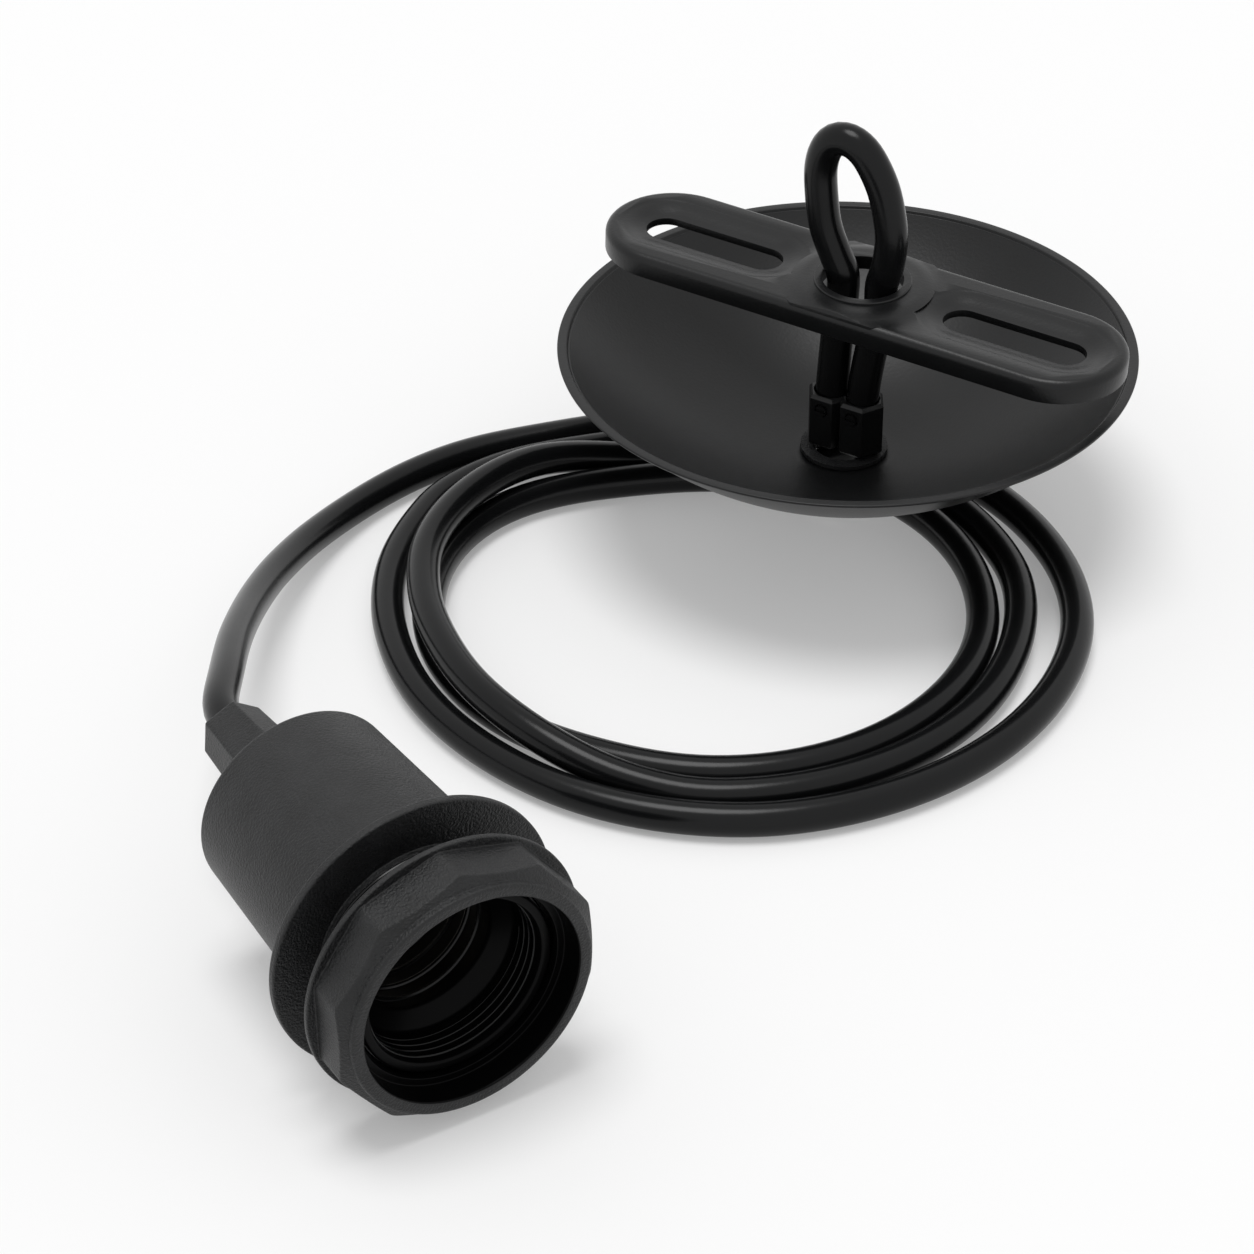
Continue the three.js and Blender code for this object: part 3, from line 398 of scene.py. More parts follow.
def ending(tree, start, end, geometry):
    """Realize Instances and Set Material, which every tree ends in."""
    realize = tree.nodes.new("GeometryNodeRealizeInstances")
    paint = tree.nodes.new("GeometryNodeSetMaterial")
    tree.links.new(geometry, realize.inputs["Geometry"])
    tree.links.new(realize.outputs["Geometry"], paint.inputs["Geometry"])
    tree.links.new(start.outputs["Material"], paint.inputs["Material"])
    tree.links.new(paint.outputs["Geometry"], end.inputs["Geometry"])


def screw_thread_tree():
    """A round ridge that winds along Z."""
    tree, start, end = node_tree(
        "Screw Thread",
        [
            ("Radius", "NodeSocketFloat"),
            ("Length", "NodeSocketFloat"),
            ("Turns", "NodeSocketFloat"),
            ("Ridge", "NodeSocketFloat"),
            ("Material", "NodeSocketMaterial"),
        ],
    )
    spiral = tree.nodes.new("GeometryNodeCurveSpiral")
    spiral.inputs["Resolution"].default_value = 96
    section = tree.nodes.new("GeometryNodeCurvePrimitiveCircle")
    section.inputs["Resolution"].default_value = 10
    sweep = tree.nodes.new("GeometryNodeCurveToMesh")
    sweep.inputs["Fill Caps"].default_value = True
    tree.links.new(start.outputs["Radius"], spiral.inputs["Start Radius"])
    tree.links.new(start.outputs["Radius"], spiral.inputs["End Radius"])
    tree.links.new(start.outputs["Length"], spiral.inputs["Height"])
    tree.links.new(start.outputs["Turns"], spiral.inputs["Rotations"])
    tree.links.new(start.outputs["Ridge"], section.inputs["Radius"])
    tree.links.new(spiral.outputs["Curve"], sweep.inputs["Curve"])
    tree.links.new(section.outputs["Curve"], sweep.inputs["Profile Curve"])
    ending(tree, start, end, sweep.outputs["Mesh"])
    return tree


def round_repeat_tree():
    """One sector of a piece, repeated about Z and joined into a closed ring."""
    tree, start, end = node_tree(
        "Round Repeat",
        [
            ("Count", "NodeSocketInt"),
            ("Join Distance", "NodeSocketFloat"),
            ("Material", "NodeSocketMaterial"),
        ],
    )
    wrap = tree.nodes.new("GeometryNodeGeometryToInstance")
    repeat = tree.nodes.new("GeometryNodeDuplicateElements")
    repeat.domain = "INSTANCE"
    share = tree.nodes.new("ShaderNodeMath")
    share.operation = "DIVIDE"
    share.inputs[0].default_value = 2 * math.pi
    angle = tree.nodes.new("ShaderNodeMath")
    angle.operation = "MULTIPLY"
    turn = tree.nodes.new("ShaderNodeCombineXYZ")
    rotate = tree.nodes.new("GeometryNodeRotateInstances")
    rotate.inputs["Local Space"].default_value = False
    realize = tree.nodes.new("GeometryNodeRealizeInstances")
    join = tree.nodes.new("GeometryNodeMergeByDistance")
    tree.links.new(start.outputs["Geometry"], wrap.inputs["Geometry"])
    tree.links.new(wrap.outputs["Instances"], repeat.inputs["Geometry"])
    tree.links.new(start.outputs["Count"], repeat.inputs["Amount"])
    tree.links.new(start.outputs["Count"], share.inputs[1])
    tree.links.new(share.outputs["Value"], angle.inputs[0])
    tree.links.new(repeat.outputs["Duplicate Index"], angle.inputs[1])
    tree.links.new(angle.outputs["Value"], turn.inputs["Z"])
    tree.links.new(repeat.outputs["Geometry"], rotate.inputs["Instances"])
    tree.links.new(turn.outputs["Vector"], rotate.inputs["Rotation"])
    tree.links.new(rotate.outputs["Instances"], realize.inputs["Geometry"])
    tree.links.new(realize.outputs["Geometry"], join.inputs["Geometry"])
    tree.links.new(start.outputs["Join Distance"], join.inputs["Distance"])
    ending(tree, start, end, join.outputs["Geometry"])
    return tree


def grown(name, shape, tree, values, place):
    """A mesh run through a tree with its named inputs, as one plain mesh with faces outwards."""
    seed = raw_object(name + "_seed", shape)
    step = seed.modifiers.new("Grow", "NODES")
    step.node_group = tree
    for item in tree.interface.items_tree:
        if item.item_type == "SOCKET" and item.in_out == "INPUT" and item.name in values:
            step[item.identifier] = values[item.name]
    made = baked(seed, name)
    face_outwards(made.data)
    made.data.transform(place)
    return made


# Finishes

# How much larger the changes of tone are than the grain, and the stretch of noise that they span
TONE_PER_GRAIN = 12
TONE_SPAN = (0.3, 0.7)
# Height of the grain at full strength, in metres
GRAIN_DEPTH = 0.0003


def finish(name, colour, roughness, grain, grain_scale, mottle, metallic=0.0, specular=0.5):
    """A plain finish with a fine grain and a faint change of tone, both in object coordinates."""
    made = bpy.data.materials.new(name)
    made.use_nodes = True
    nodes, links = made.node_tree.nodes, made.node_tree.links
    shader = nodes["Principled BSDF"]
    shader.inputs["Roughness"].default_value = roughness
    shader.inputs["Metallic"].default_value = metallic
    shader.inputs["Specular IOR Level"].default_value = specular
    place = nodes.new("ShaderNodeTexCoord")
    tone = nodes.new("ShaderNodeTexNoise")
    tone.inputs["Scale"].default_value = grain_scale / TONE_PER_GRAIN
    tone.inputs["Detail"].default_value = 3
    ramp = nodes.new("ShaderNodeValToRGB")
    dark = [c * (1 - mottle) for c in colour]
    light = [min(1, c * (1 + mottle)) for c in colour]
    ramp.color_ramp.elements[0].position = TONE_SPAN[0]
    ramp.color_ramp.elements[0].color = (*dark, 1)
    ramp.color_ramp.elements[1].position = TONE_SPAN[1]
    ramp.color_ramp.elements[1].color = (*light, 1)
    links.new(place.outputs["Object"], tone.inputs["Vector"])
    links.new(tone.outputs["Fac"], ramp.inputs["Fac"])
    links.new(ramp.outputs["Color"], shader.inputs["Base Color"])
    sand = nodes.new("ShaderNodeTexNoise")
    sand.inputs["Scale"].default_value = grain_scale
    sand.inputs["Detail"].default_value = 4
    bump = nodes.new("ShaderNodeBump")
    bump.inputs["Strength"].default_value = grain
    bump.inputs["Distance"].default_value = GRAIN_DEPTH
    links.new(place.outputs["Object"], sand.inputs["Vector"])
    links.new(sand.outputs["Fac"], bump.inputs["Height"])
    links.new(bump.outputs["Normal"], shader.inputs["Normal"])


FINISH_NAMES = {
    "textured_plastic": "Textured plastic",
    "shaded_smooth_plastic": "Smooth plastic with painted shade",
    "thread_plastic": "Thread plastic",
    "painted_steel": "Bracket coating",
    "canopy_steel": "Canopy coating",
    "cord_sheath": "Cord sheath",
    "ceramic": "Glazed ceramic",
    "brass": "Bright brass",
    "zinc_steel": "Zinc-plated steel",
    "brown_core": "Brown core",
    "blue_core": "Blue core",
}


def make_plastics(plastic):
    """The holder's grained outside, its smoother inside darkened as painted shade, and its threads,
    darkened the same way.
    """
    finish(
        "Textured plastic", plastic, 0.42, grain=1.0, grain_scale=2000, mottle=0.3, specular=0.31,
    )
    # Smoother inner faces; their dark colour and almost no gloss are painted shade in the holder's bores.
    finish(
        "Smooth plastic with painted shade", (0.0015, 0.0015, 0.0016), 0.3,
        grain=0.02, grain_scale=900, mottle=0.1, specular=0.06,
    )
    # Threads take a darker copy of the holder's plastic: painted shade in the bores and in the gap before
    # the shade ring.
    finish(
        "Thread plastic", (0.003, 0.0031, 0.0032), 0.2,
        grain=0.02, grain_scale=900, mottle=0.1, specular=0.22,
    )


def make_coatings(steel, sheath):
    """The coated steel of canopy and bracket, and the cord's sheath."""
    finish("Canopy coating", steel, 0.36, grain=0.12, grain_scale=1400, mottle=0.15, specular=0.3)
    finish("Bracket coating", steel, 0.33, grain=0.12, grain_scale=1400, mottle=0.15, specular=0.28)
    finish("Cord sheath", sheath, 0.22, grain=0.05, grain_scale=700, mottle=0.12, specular=0.2)


def make_inner_finishes():
    """Ceramic, metals and the two cores' colours."""
    finish("Glazed ceramic", (0.78, 0.75, 0.68), 0.22, grain=0.04, grain_scale=600, mottle=0.04)
    finish(
        "Bright brass", (0.72, 0.52, 0.24), 0.24, grain=0.05, grain_scale=1500, mottle=0.08, metallic=1,
    )
    finish(
        "Zinc-plated steel", (0.6, 0.61, 0.63), 0.3, grain=0.06, grain_scale=1800, mottle=0.08, metallic=1,
    )
    finish("Brown core", (0.13, 0.055, 0.025), 0.4, grain=0.03, grain_scale=900, mottle=0.06)
    finish("Blue core", (0.03, 0.12, 0.4), 0.4, grain=0.03, grain_scale=900, mottle=0.06)


def finishes(colours):
    """Every finish of the set by its slot's name, made on the first call."""
    if "Textured plastic" not in bpy.data.materials:
        make_plastics(tuple(colours.plastic))
        make_coatings(tuple(colours.steel), tuple(colours.sheath))
        make_inner_finishes()
    return {slot: bpy.data.materials[name] for slot, name in FINISH_NAMES.items()}


# Sizes and colours that a user would change


class CordSetSizes(bpy.types.PropertyGroup):
    flange_radius: bpy.props.FloatProperty(
        name="Flange radius", description="Outer radius of the holder's shade flange", default=28.73 * MM,
        subtype="DISTANCE", unit="LENGTH",
    )
    barrel_pitch: bpy.props.FloatProperty(
        name="Barrel thread pitch", description="Rise of the outer thread for the shade ring",
        default=1.7 * MM, subtype="DISTANCE", unit="LENGTH",
    )
    lamp_pitch: bpy.props.FloatProperty(
        name="Lamp thread pitch", description="Rise of the lamp thread inside the holder", default=3.6 * MM,
        subtype="DISTANCE", unit="LENGTH",
    )
    ring_sides: bpy.props.IntProperty(
        name="Ring sides", description="Flat sides of the shade ring", default=10, min=6, max=16,
    )
    cord_diameter: bpy.props.FloatProperty(
        name="Cord diameter", description="Outer diameter of the two-core cord", default=7 * MM,
        subtype="DISTANCE", unit="LENGTH",
    )
    canopy_radius: bpy.props.FloatProperty(
        name="Canopy radius", description="Outer radius of the canopy's rim", default=61.52 * MM,
        subtype="DISTANCE", unit="LENGTH",
    )
    bracket_length: bpy.props.FloatProperty(
        name="Bracket length", description="Length of the ceiling bracket over its round ends",
        default=120.2 * MM, subtype="DISTANCE", unit="LENGTH",
    )
    edge_rounding: bpy.props.FloatProperty(
        name="Edge rounding", description="Small rounding on pressed and moulded edges", default=0.4 * MM,
        subtype="DISTANCE", unit="LENGTH",
    )


class CordSetColours(bpy.types.PropertyGroup):
    plastic: bpy.props.FloatVectorProperty(
        name="Plastic", description="Colour of the moulded lamp holder", subtype="COLOR",
        default=(0.009, 0.0093, 0.0098), min=0, max=1,
    )
    steel: bpy.props.FloatVectorProperty(
        name="Steel", description="Colour of the coated canopy and bracket", subtype="COLOR",
        default=(0.0045, 0.0047, 0.005), min=0, max=1,
    )
    sheath: bpy.props.FloatVectorProperty(
        name="Sheath", description="Colour of the cord's outer sheath", subtype="COLOR",
        default=(0.004, 0.0042, 0.0045), min=0, max=1,
    )
    floor: bpy.props.FloatVectorProperty(
        name="Floor", description="Colour of the plain floor", subtype="COLOR",
        default=(0.69, 0.69, 0.69), min=0, max=1,
    )


# Sizes of the holder in millimetres: radii about its axis, and places along it from the flange's face

CAP_FRONT = -2.1
CAP_REAR = -44.3
CAP_FLOOR = -41.8
CAP_FRONT_RADIUS = 22.1
CAP_REAR_RADIUS = 20.1
CAP_MOUTH_RADIUS = 20.3
CAP_INNER_RADIUS = 18.42
BOSS_REAR = -49.7
BOSS_RADIUS = 8.2
NECK_REAR = -60.0
NECK_RADIUS = 5.0
CORD_BORE_RADIUS = 3.8

NUT_FRONT = -50.0
NUT_REAR = -70.0
NUT_SIDES = 6
NUT_FRONT_CORNER = 8.0
NUT_REAR_CORNER = 6.6
NUT_BORE_RADIUS = 5.3
NUT_CORNER_ANGLE = 26.0
NUT_SOFTNESS = 0.12

FLANGE_REAR = -1.8
SKIRT_REAR = -16.1
SKIRT_RADIUS = 18.0
SKIRT_INNER_RADIUS = 16.3
BARREL_LENGTH = 15.0
BARREL_RADIUS = 19.5
MOUTH_RADIUS = 17.3
MOUTH_EDGE = 13.5
MOUTH_FLOOR = 6.2
LAMP_BORE_RADIUS = 13.9
LAMP_BORE_FRONT = 3.0
LAMP_BORE_REAR = -13.0
# Faces of the skirt nearer the axis than this get the painted shade of the bore.
SKIRT_SHADE_RADIUS = 19.4

RING_REAR = 9.5
RING_FLANGE_FRONT = 10.7
RING_FLANGE_RADIUS = 27.84
RING_BORE_RADIUS = 20.3
RING_BODY_FRONT = 19.6
RING_CORNER_RADIUS = 27.2
RING_CORNER_ANGLE = 20.0
RING_CONE_DROP = 0.4
RING_SOFTNESS = 0.22
RING_LIP_RADIUS = 24.6
RING_FRONT = 20.97
RING_MOUTH_RADIUS = 21.85
RING_MOUTH_REAR = 15.77
# Faces of the ring nearer the axis than this get the painted shade of its mouth.
RING_SHADE_RADIUS = 22.2
JOIN_DISTANCE = 0.001


class CORDSET_OT_cap(bpy.types.Operator):
    """Moulded cap of the lamp holder, with its boss and the neck under the grip nut"""

    bl_idname = "cordset.cap"
    bl_label = "Holder Cap"

    def execute(self, context):
        paint = finishes(context.scene.cord_set_colours)
        corners = [
            (CORD_BORE_RADIUS, NECK_REAR, 0.2),
            (NECK_RADIUS, NECK_REAR, 0.3),
            (NECK_RADIUS, BOSS_REAR, 0.1),
            (BOSS_RADIUS, BOSS_REAR, 0.7),
            (BOSS_RADIUS, CAP_REAR, 0.6),
            (CAP_REAR_RADIUS, CAP_REAR, 1.0),
            (CAP_FRONT_RADIUS, CAP_FRONT, 0.35),
            (CAP_MOUTH_RADIUS, CAP_FRONT, 0.2),
            (CAP_INNER_RADIUS, CAP_FLOOR, 0.5),
            (CORD_BORE_RADIUS, CAP_FLOOR, 0.2),
        ]
        made = raw_object("cap", lathe(corners, segments=224, steps=7), holder_place())
        finished(made, paint["textured_plastic"], ["holder_cap"])
        return {"FINISHED"}


class CORDSET_OT_skirt(bpy.types.Operator):
    """Flange, outer barrel with its fine thread, and the lamp bore with its coarse thread"""

    bl_idname = "cordset.skirt"
    bl_label = "Holder Skirt"

    def execute(self, context):
        sizes = context.scene.cord_set_sizes
        paint = finishes(context.scene.cord_set_colours)
        flange = sizes.flange_radius / MM
        corners = [
            (SKIRT_INNER_RADIUS, SKIRT_REAR, 0.2),
            (SKIRT_RADIUS, SKIRT_REAR, 0.3),
            (SKIRT_RADIUS, FLANGE_REAR, 0.1),
            (flange, FLANGE_REAR, 0.5),
            (flange, 0.0, 0.5),
            (BARREL_RADIUS, 0.0, 0.3),
            (BARREL_RADIUS, BARREL_LENGTH, 0.5),
            (MOUTH_RADIUS + 0.3, BARREL_LENGTH, 0.5),
            (MOUTH_RADIUS, MOUTH_EDGE, 0.5),
            (MOUTH_RADIUS - 0.2, MOUTH_FLOOR, 0.6),
            (LAMP_BORE_RADIUS, LAMP_BORE_FRONT, 0.6),
            (LAMP_BORE_RADIUS, LAMP_BORE_REAR, 0.2),
            (SKIRT_INNER_RADIUS, LAMP_BORE_REAR, 0.2),
        ]
        body = raw_object("skirt", lathe(corners, segments=224), holder_place())
        finished(body, paint["textured_plastic"], ["holder_skirt"])
        # The bore's faces get the darker, nearly glossless plastic: painted shade.
        paint_inner_shade(body, holder_place(), SKIRT_SHADE_RADIUS, paint["shaded_smooth_plastic"])
        self.add_threads(sizes, paint)
        return {"FINISHED"}

    def add_threads(self, sizes, paint):
        """Threads by name, radius to the ridge's middle, first and last place, pitch and ridge size."""
        barrel_pitch = sizes.barrel_pitch / MM
        lamp_pitch = sizes.lamp_pitch / MM
        threads = [
            ("barrel_thread", BARREL_RADIUS + 0.05, 0.8, BARREL_LENGTH - 0.9, barrel_pitch, 0.45),
            ("mouth_thread", MOUTH_RADIUS, 7.6, 14.0, barrel_pitch, 0.24),
            ("lamp_thread", LAMP_BORE_RADIUS + 0.05, -11.6, 2.6, lamp_pitch, 0.6),
        ]
        tree = screw_thread_tree()
        marker = ([(0, 0, 0), (1, 0, 0), (0, 1, 0)], [(0, 1, 2)])
        # Every thread gets the darker thread plastic, which is painted shade.
        for name, radius, low, high, pitch, ridge in threads:
            values = {
                "Radius": radius,
                "Length": high - low,
                "Turns": (high - low) / pitch,
                "Ridge": ridge,
                "Material": paint["thread_plastic"],
            }
            place = holder_place() @ Matrix.Translation((0, 0, low))
            made = grown(name, marker, tree, values, place)
            finished(made, paint["thread_plastic"], [])


class CORDSET_OT_ring(bpy.types.Operator):
    """Ten-sided shade ring with a thin flange, a cone over its corners and a round lip"""

    bl_idname = "cordset.ring"
    bl_label = "Shade Ring"

    def execute(self, context):
        sizes = context.scene.cord_set_sizes
        paint = finishes(context.scene.cord_set_colours)
        half = math.pi / sizes.ring_sides
        drop = RING_CORNER_RADIUS - RING_CORNER_RADIUS * math.cos(half) + RING_CONE_DROP

        def profile(angle):
            side = soft_side(RING_CORNER_RADIUS, half, RING_SOFTNESS, angle)
            share = (RING_CORNER_RADIUS - side) / (RING_CORNER_RADIUS - RING_LIP_RADIUS)
            cone = RING_BODY_FRONT - drop * (1 - share)
            return rounded(
                [
                    (RING_BORE_RADIUS, RING_REAR, 0.2),
                    (RING_FLANGE_RADIUS, RING_REAR, 0.35),
                    (RING_FLANGE_RADIUS, RING_FLANGE_FRONT, 0.35),
                    (side, RING_FLANGE_FRONT, 0.3),
                    (side, cone, 0.35),
                    (RING_LIP_RADIUS, RING_BODY_FRONT, 0.18),
                    (RING_LIP_RADIUS, RING_FRONT, 0.9),
                    (RING_MOUTH_RADIUS, RING_FRONT, 0.75),
                    (RING_MOUTH_RADIUS, RING_MOUTH_REAR, 0.3),
                    (RING_BORE_RADIUS, RING_MOUTH_REAR, 0.2),
                ]
            )

        values = {
            "Count": sizes.ring_sides,
            "Join Distance": JOIN_DISTANCE,
            "Material": paint["textured_plastic"],
        }
        turn = Matrix.Rotation(math.radians(RING_CORNER_ANGLE) + half, 4, "Z")
        shape = sector(profile, half, 36)
        made = grown("shade_ring", shape, round_repeat_tree(), values, holder_place() @ turn)
        finished(made, paint["textured_plastic"], ["shade_ring"], degrees=40)
        # The mouth's inner faces get the darker, nearly glossless plastic: painted shade.
        paint_inner_shade(made, holder_place(), RING_SHADE_RADIUS, paint["shaded_smooth_plastic"])
        return {"FINISHED"}


class CORDSET_OT_grip(bpy.types.Operator):
    """Tapered six-sided nut that closes the cord grip"""

    bl_idname = "cordset.grip"
    bl_label = "Cord Grip Nut"

    def execute(self, context):
        paint = finishes(context.scene.cord_set_colours)
        half = math.pi / NUT_SIDES

        def profile(angle):
            return rounded(
                [
                    (CORD_BORE_RADIUS, NUT_REAR, 0.3),
                    (soft_side(NUT_REAR_CORNER, half, NUT_SOFTNESS, angle), NUT_REAR, 0.7),
                    (soft_side(NUT_FRONT_CORNER, half, NUT_SOFTNESS, angle), NUT_FRONT, 0.4),
                    (NUT_BORE_RADIUS, NUT_FRONT, 0.2),
                    (NUT_BORE_RADIUS, NECK_REAR - 0.3, 0.1),
                    (CORD_BORE_RADIUS, NECK_REAR - 6, 0.1),
                ]
            )

        values = {
            "Count": NUT_SIDES,
            "Join Distance": JOIN_DISTANCE,
            "Material": paint["textured_plastic"],
        }
        turn = Matrix.Rotation(math.radians(NUT_CORNER_ANGLE) + half, 4, "Z")
        shape = sector(profile, half, 28)
        made = grown("grip_nut", shape, round_repeat_tree(), values, holder_place() @ turn)
        finished(made, paint["textured_plastic"], ["cable_grip_nut"], degrees=40)
        return {"FINISHED"}


class CORDSET_OT_inside(bpy.types.Operator):
    """Finishes of the small solids that show as they are: carrier, contacts, terminals, screws and cores"""

    bl_idname = "cordset.inside"
    bl_label = "Contacts and Small Parts"

    def execute(self, context):
        paint = finishes(context.scene.cord_set_colours)
        slots = {part["node"]: part["material_slot"] for part in frame["record"]["subparts"]}
        for node, shown in frame["nodes"].items():
            shown.data.materials.clear()
            shown.data.materials.append(paint[slots[node]])
        return {"FINISHED"}


# Sizes of the canopy in millimetres: radii about its axis, and heights over the table

CANOPY_RIM = 42.0
CANOPY_FLOOR = 16.0
CANOPY_FLAT_RADIUS = 10.5
CANOPY_HOLE_RADIUS = 7.9
CANOPY_SHEET = 1.0
CANOPY_STEP = 0.7
LIP_WIDTH = 2.6


class CORDSET_OT_canopy(bpy.types.Operator):
    """Dished steel canopy, rim up, with its rolled lip and step"""

    bl_idname = "cordset.canopy"
    bl_label = "Canopy"

    def execute(self, context):
        sizes = context.scene.cord_set_sizes
        paint = finishes(context.scene.cord_set_colours)
        outer = sizes.canopy_radius / MM
        lip = outer - LIP_WIDTH
        rise = CANOPY_RIM - CANOPY_FLOOR - CANOPY_STEP
        centre = (lip**2 - CANOPY_FLAT_RADIUS**2 + rise**2) / (2 * rise)
        ball = math.hypot(centre, CANOPY_FLAT_RADIUS)
        first = math.asin(CANOPY_FLAT_RADIUS / ball)
        last = math.asin(lip / ball)

        def dish(offset, steps=44):
            radius = ball + offset
            found = []
            for k in range(steps + 1):
                a = first + (last - first) * k / steps
                found.append((radius * math.sin(a), CANOPY_FLOOR + centre - radius * math.cos(a), 0))
            return found

        corners = [
            (CANOPY_HOLE_RADIUS, CANOPY_FLOOR - CANOPY_SHEET, 0.2),
            *dish(CANOPY_SHEET),
            (outer - 0.5, CANOPY_RIM - CANOPY_SHEET, 0.25),
            (outer, CANOPY_RIM - 0.5, 0.3),
            (outer, CANOPY_RIM, 0.3),
            (lip + 0.6, CANOPY_RIM, 0.25),
            (lip + 0.25, CANOPY_RIM - CANOPY_STEP, 0.2),
            *reversed(dish(0)),
            (CANOPY_HOLE_RADIUS, CANOPY_FLOOR, 0.2),
        ]
        made = raw_object("canopy_shell", lathe(corners, segments=288, steps=4), stem_place())
        finished(made, paint["canopy_steel"], ["canopy"], degrees=40)
        return {"FINISHED"}


# Sizes of the bracket in millimetres, with heights from its upper face

BRACKET_END_RADIUS = 15.1
BRACKET_HEIGHT = 5.0
BRACKET_SHEET = 1.6
CROWN_ROUNDING = 1.65
CROWN_INNER_ROUNDING = 0.9
HOLE_RADIUS = 8.67
SLOT_START = 19.4
SLOT_END = 51.6
SLOT_RADIUS = 4.5
DISH_RADIUS = 10.6
DISH_DEPTH = 1.5

# (radius, height) up the round rise about the hole, and up the hole's own rim
BOSS_LEVELS = [(17.5, -0.8), (17.5, 0.0), (16.2, 0.08), (14.9, 0.42), (13.6, 0.8), (12.4, 0.9)]
RIM_LEVELS = [(10.37, -0.5), (10.37, 1.3), (10.17, 1.5)]
# (distance inside the bracket's outline, height) that the round rise keeps to
BOSS_LIMITS = [(0.33, -BRACKET_SHEET), (0.41, 0), (2, 2)]
# (share of the dish's depth, share of its width) from the slot outwards
DISH_LEVELS = [
    (-1.0, 0), (-0.9, 0.14), (-0.72, 0.3), (-0.5, 0.45), (-0.3, 0.6), (-0.14, 0.75), (-0.04, 0.9),
]


class CORDSET_OT_bracket(bpy.types.Operator):
    """Pressed ceiling bracket with turned-down edge, dished slots and a raised round hole"""

    bl_idname = "cordset.bracket"
    bl_label = "Ceiling Bracket"

    def execute(self, context):
        sizes = context.scene.cord_set_sizes
        paint = finishes(context.scene.cord_set_colours)
        straight = sizes.bracket_length / MM / 2 - BRACKET_END_RADIUS
        body = self.pressed_strip(straight)
        self.raise_hole(body, straight)
        for side in (1, -1):
            self.press_slot(body, side * (SLOT_START + SLOT_END) / 2)
        hole = [(HOLE_RADIUS, -BRACKET_HEIGHT - 1), (HOLE_RADIUS, 4)]
        cut(body, raw_object("hole", lathe_solid(hole)))
        softened(body, sizes.edge_rounding / MM)
        made = baked(body, "bracket_plate", bracket_place())
        finished(made, paint["painted_steel"], ["ceiling_bracket"], degrees=45)
        return {"FINISHED"}

    def pressed_strip(self, straight):
        """The strip with its turned-down edge, hollow from below."""

        def crowned(radius, foot, top, rounding, steps=6):
            rows = [stadium(straight, radius, foot)]
            for k in range(steps + 1):
                a = math.pi / 2 * k / steps
                inset = rounding * (1 - math.cos(a))
                rows.append(stadium(straight, radius - inset, top - rounding * (1 - math.sin(a))))
            return skinned(rows)

        outside = crowned(BRACKET_END_RADIUS, -BRACKET_HEIGHT, 0.0, CROWN_ROUNDING)
        inner_radius = BRACKET_END_RADIUS - BRACKET_SHEET
        hollow = crowned(inner_radius, -BRACKET_HEIGHT - 1, -BRACKET_SHEET, CROWN_INNER_ROUNDING)
        body = raw_object("bracket_plate", outside)
        cut(body, raw_object("hollow", hollow))
        return body

    def raise_hole(self, body, straight):
        """The round rise about the hole, kept inside the strip's outline, and the hole's rim."""
        rise = raw_object("boss", lathe_solid(BOSS_LEVELS))
        limits = [stadium(straight, BRACKET_END_RADIUS - inset, z) for inset, z in BOSS_LIMITS]
        cut(rise, raw_object("limits", skinned(limits)), operation="INTERSECT")
        cut(body, rise, operation="UNION")
        cut(body, raw_object("hole_rim", lathe_solid(RIM_LEVELS)), operation="UNION")

    def press_slot(self, body, centre):
        """A slot with the dish pressed round it, which shows below the sheet too."""
        slot_half = (SLOT_END - SLOT_START) / 2 - SLOT_RADIUS
        spread = DISH_RADIUS - SLOT_RADIUS

        def cove(drop):
            rows = []
            for depth, share in DISH_LEVELS:
                radius = SLOT_RADIUS + share * spread + drop / 2
                rows.append(stadium(slot_half, radius, depth * DISH_DEPTH - drop, centre))
            rows.append(stadium(slot_half, DISH_RADIUS + drop / 2, 0.3 - drop, centre))
            return skinned(rows)

        cut(body, raw_object("cove_under", cove(BRACKET_SHEET)), operation="UNION")
        cut(body, raw_object("cove", cove(0)))
        slot = [stadium(slot_half, SLOT_RADIUS, z, centre) for z in (-BRACKET_HEIGHT - 1, 1)]
        cut(body, raw_object("slot", skinned(slot)))


# Spacing of points along the cord in millimetres, how often they are evened out, and the clamp's edge

LOOP_SPACING = 1.2
CORD_SPACING = 3.0
EVENING_ROUNDS = 3
CLAMP_EDGE = 0.35


class CORDSET_OT_loop(bpy.types.Operator):
    """Held loop of the cord, up through the bracket and back into the clamp"""

    bl_idname = "cordset.loop"
    bl_label = "Cord Loop and Clamp"

    def execute(self, context):
        sizes = context.scene.cord_set_sizes
        paint = finishes(context.scene.cord_set_colours)
        line = evenly(catmull_rom(LOOP, 8), LOOP_SPACING)
        made = raw_object("loop", tube(line, sizes.cord_diameter / MM / 2, 32), stem_place())
        finished(made, paint["cord_sheath"], ["cord_loop"], degrees=50)
        clamp = link("clamp", frame["nodes"]["cord_clamp"].data.copy())
        work = bmesh.new()
        work.from_mesh(clamp.data)
        bmesh.ops.remove_doubles(work, verts=work.verts, dist=1e-6)
        bmesh.ops.dissolve_limit(work, angle_limit=math.radians(2), verts=work.verts, edges=work.edges)
        work.to_mesh(clamp.data)
        work.free()
        softened(clamp, CLAMP_EDGE * MM, degrees=25)
        made = baked(clamp, "clamp")
        finished(made, paint["painted_steel"], ["cord_clamp"], degrees=35)
        return {"FINISHED"}


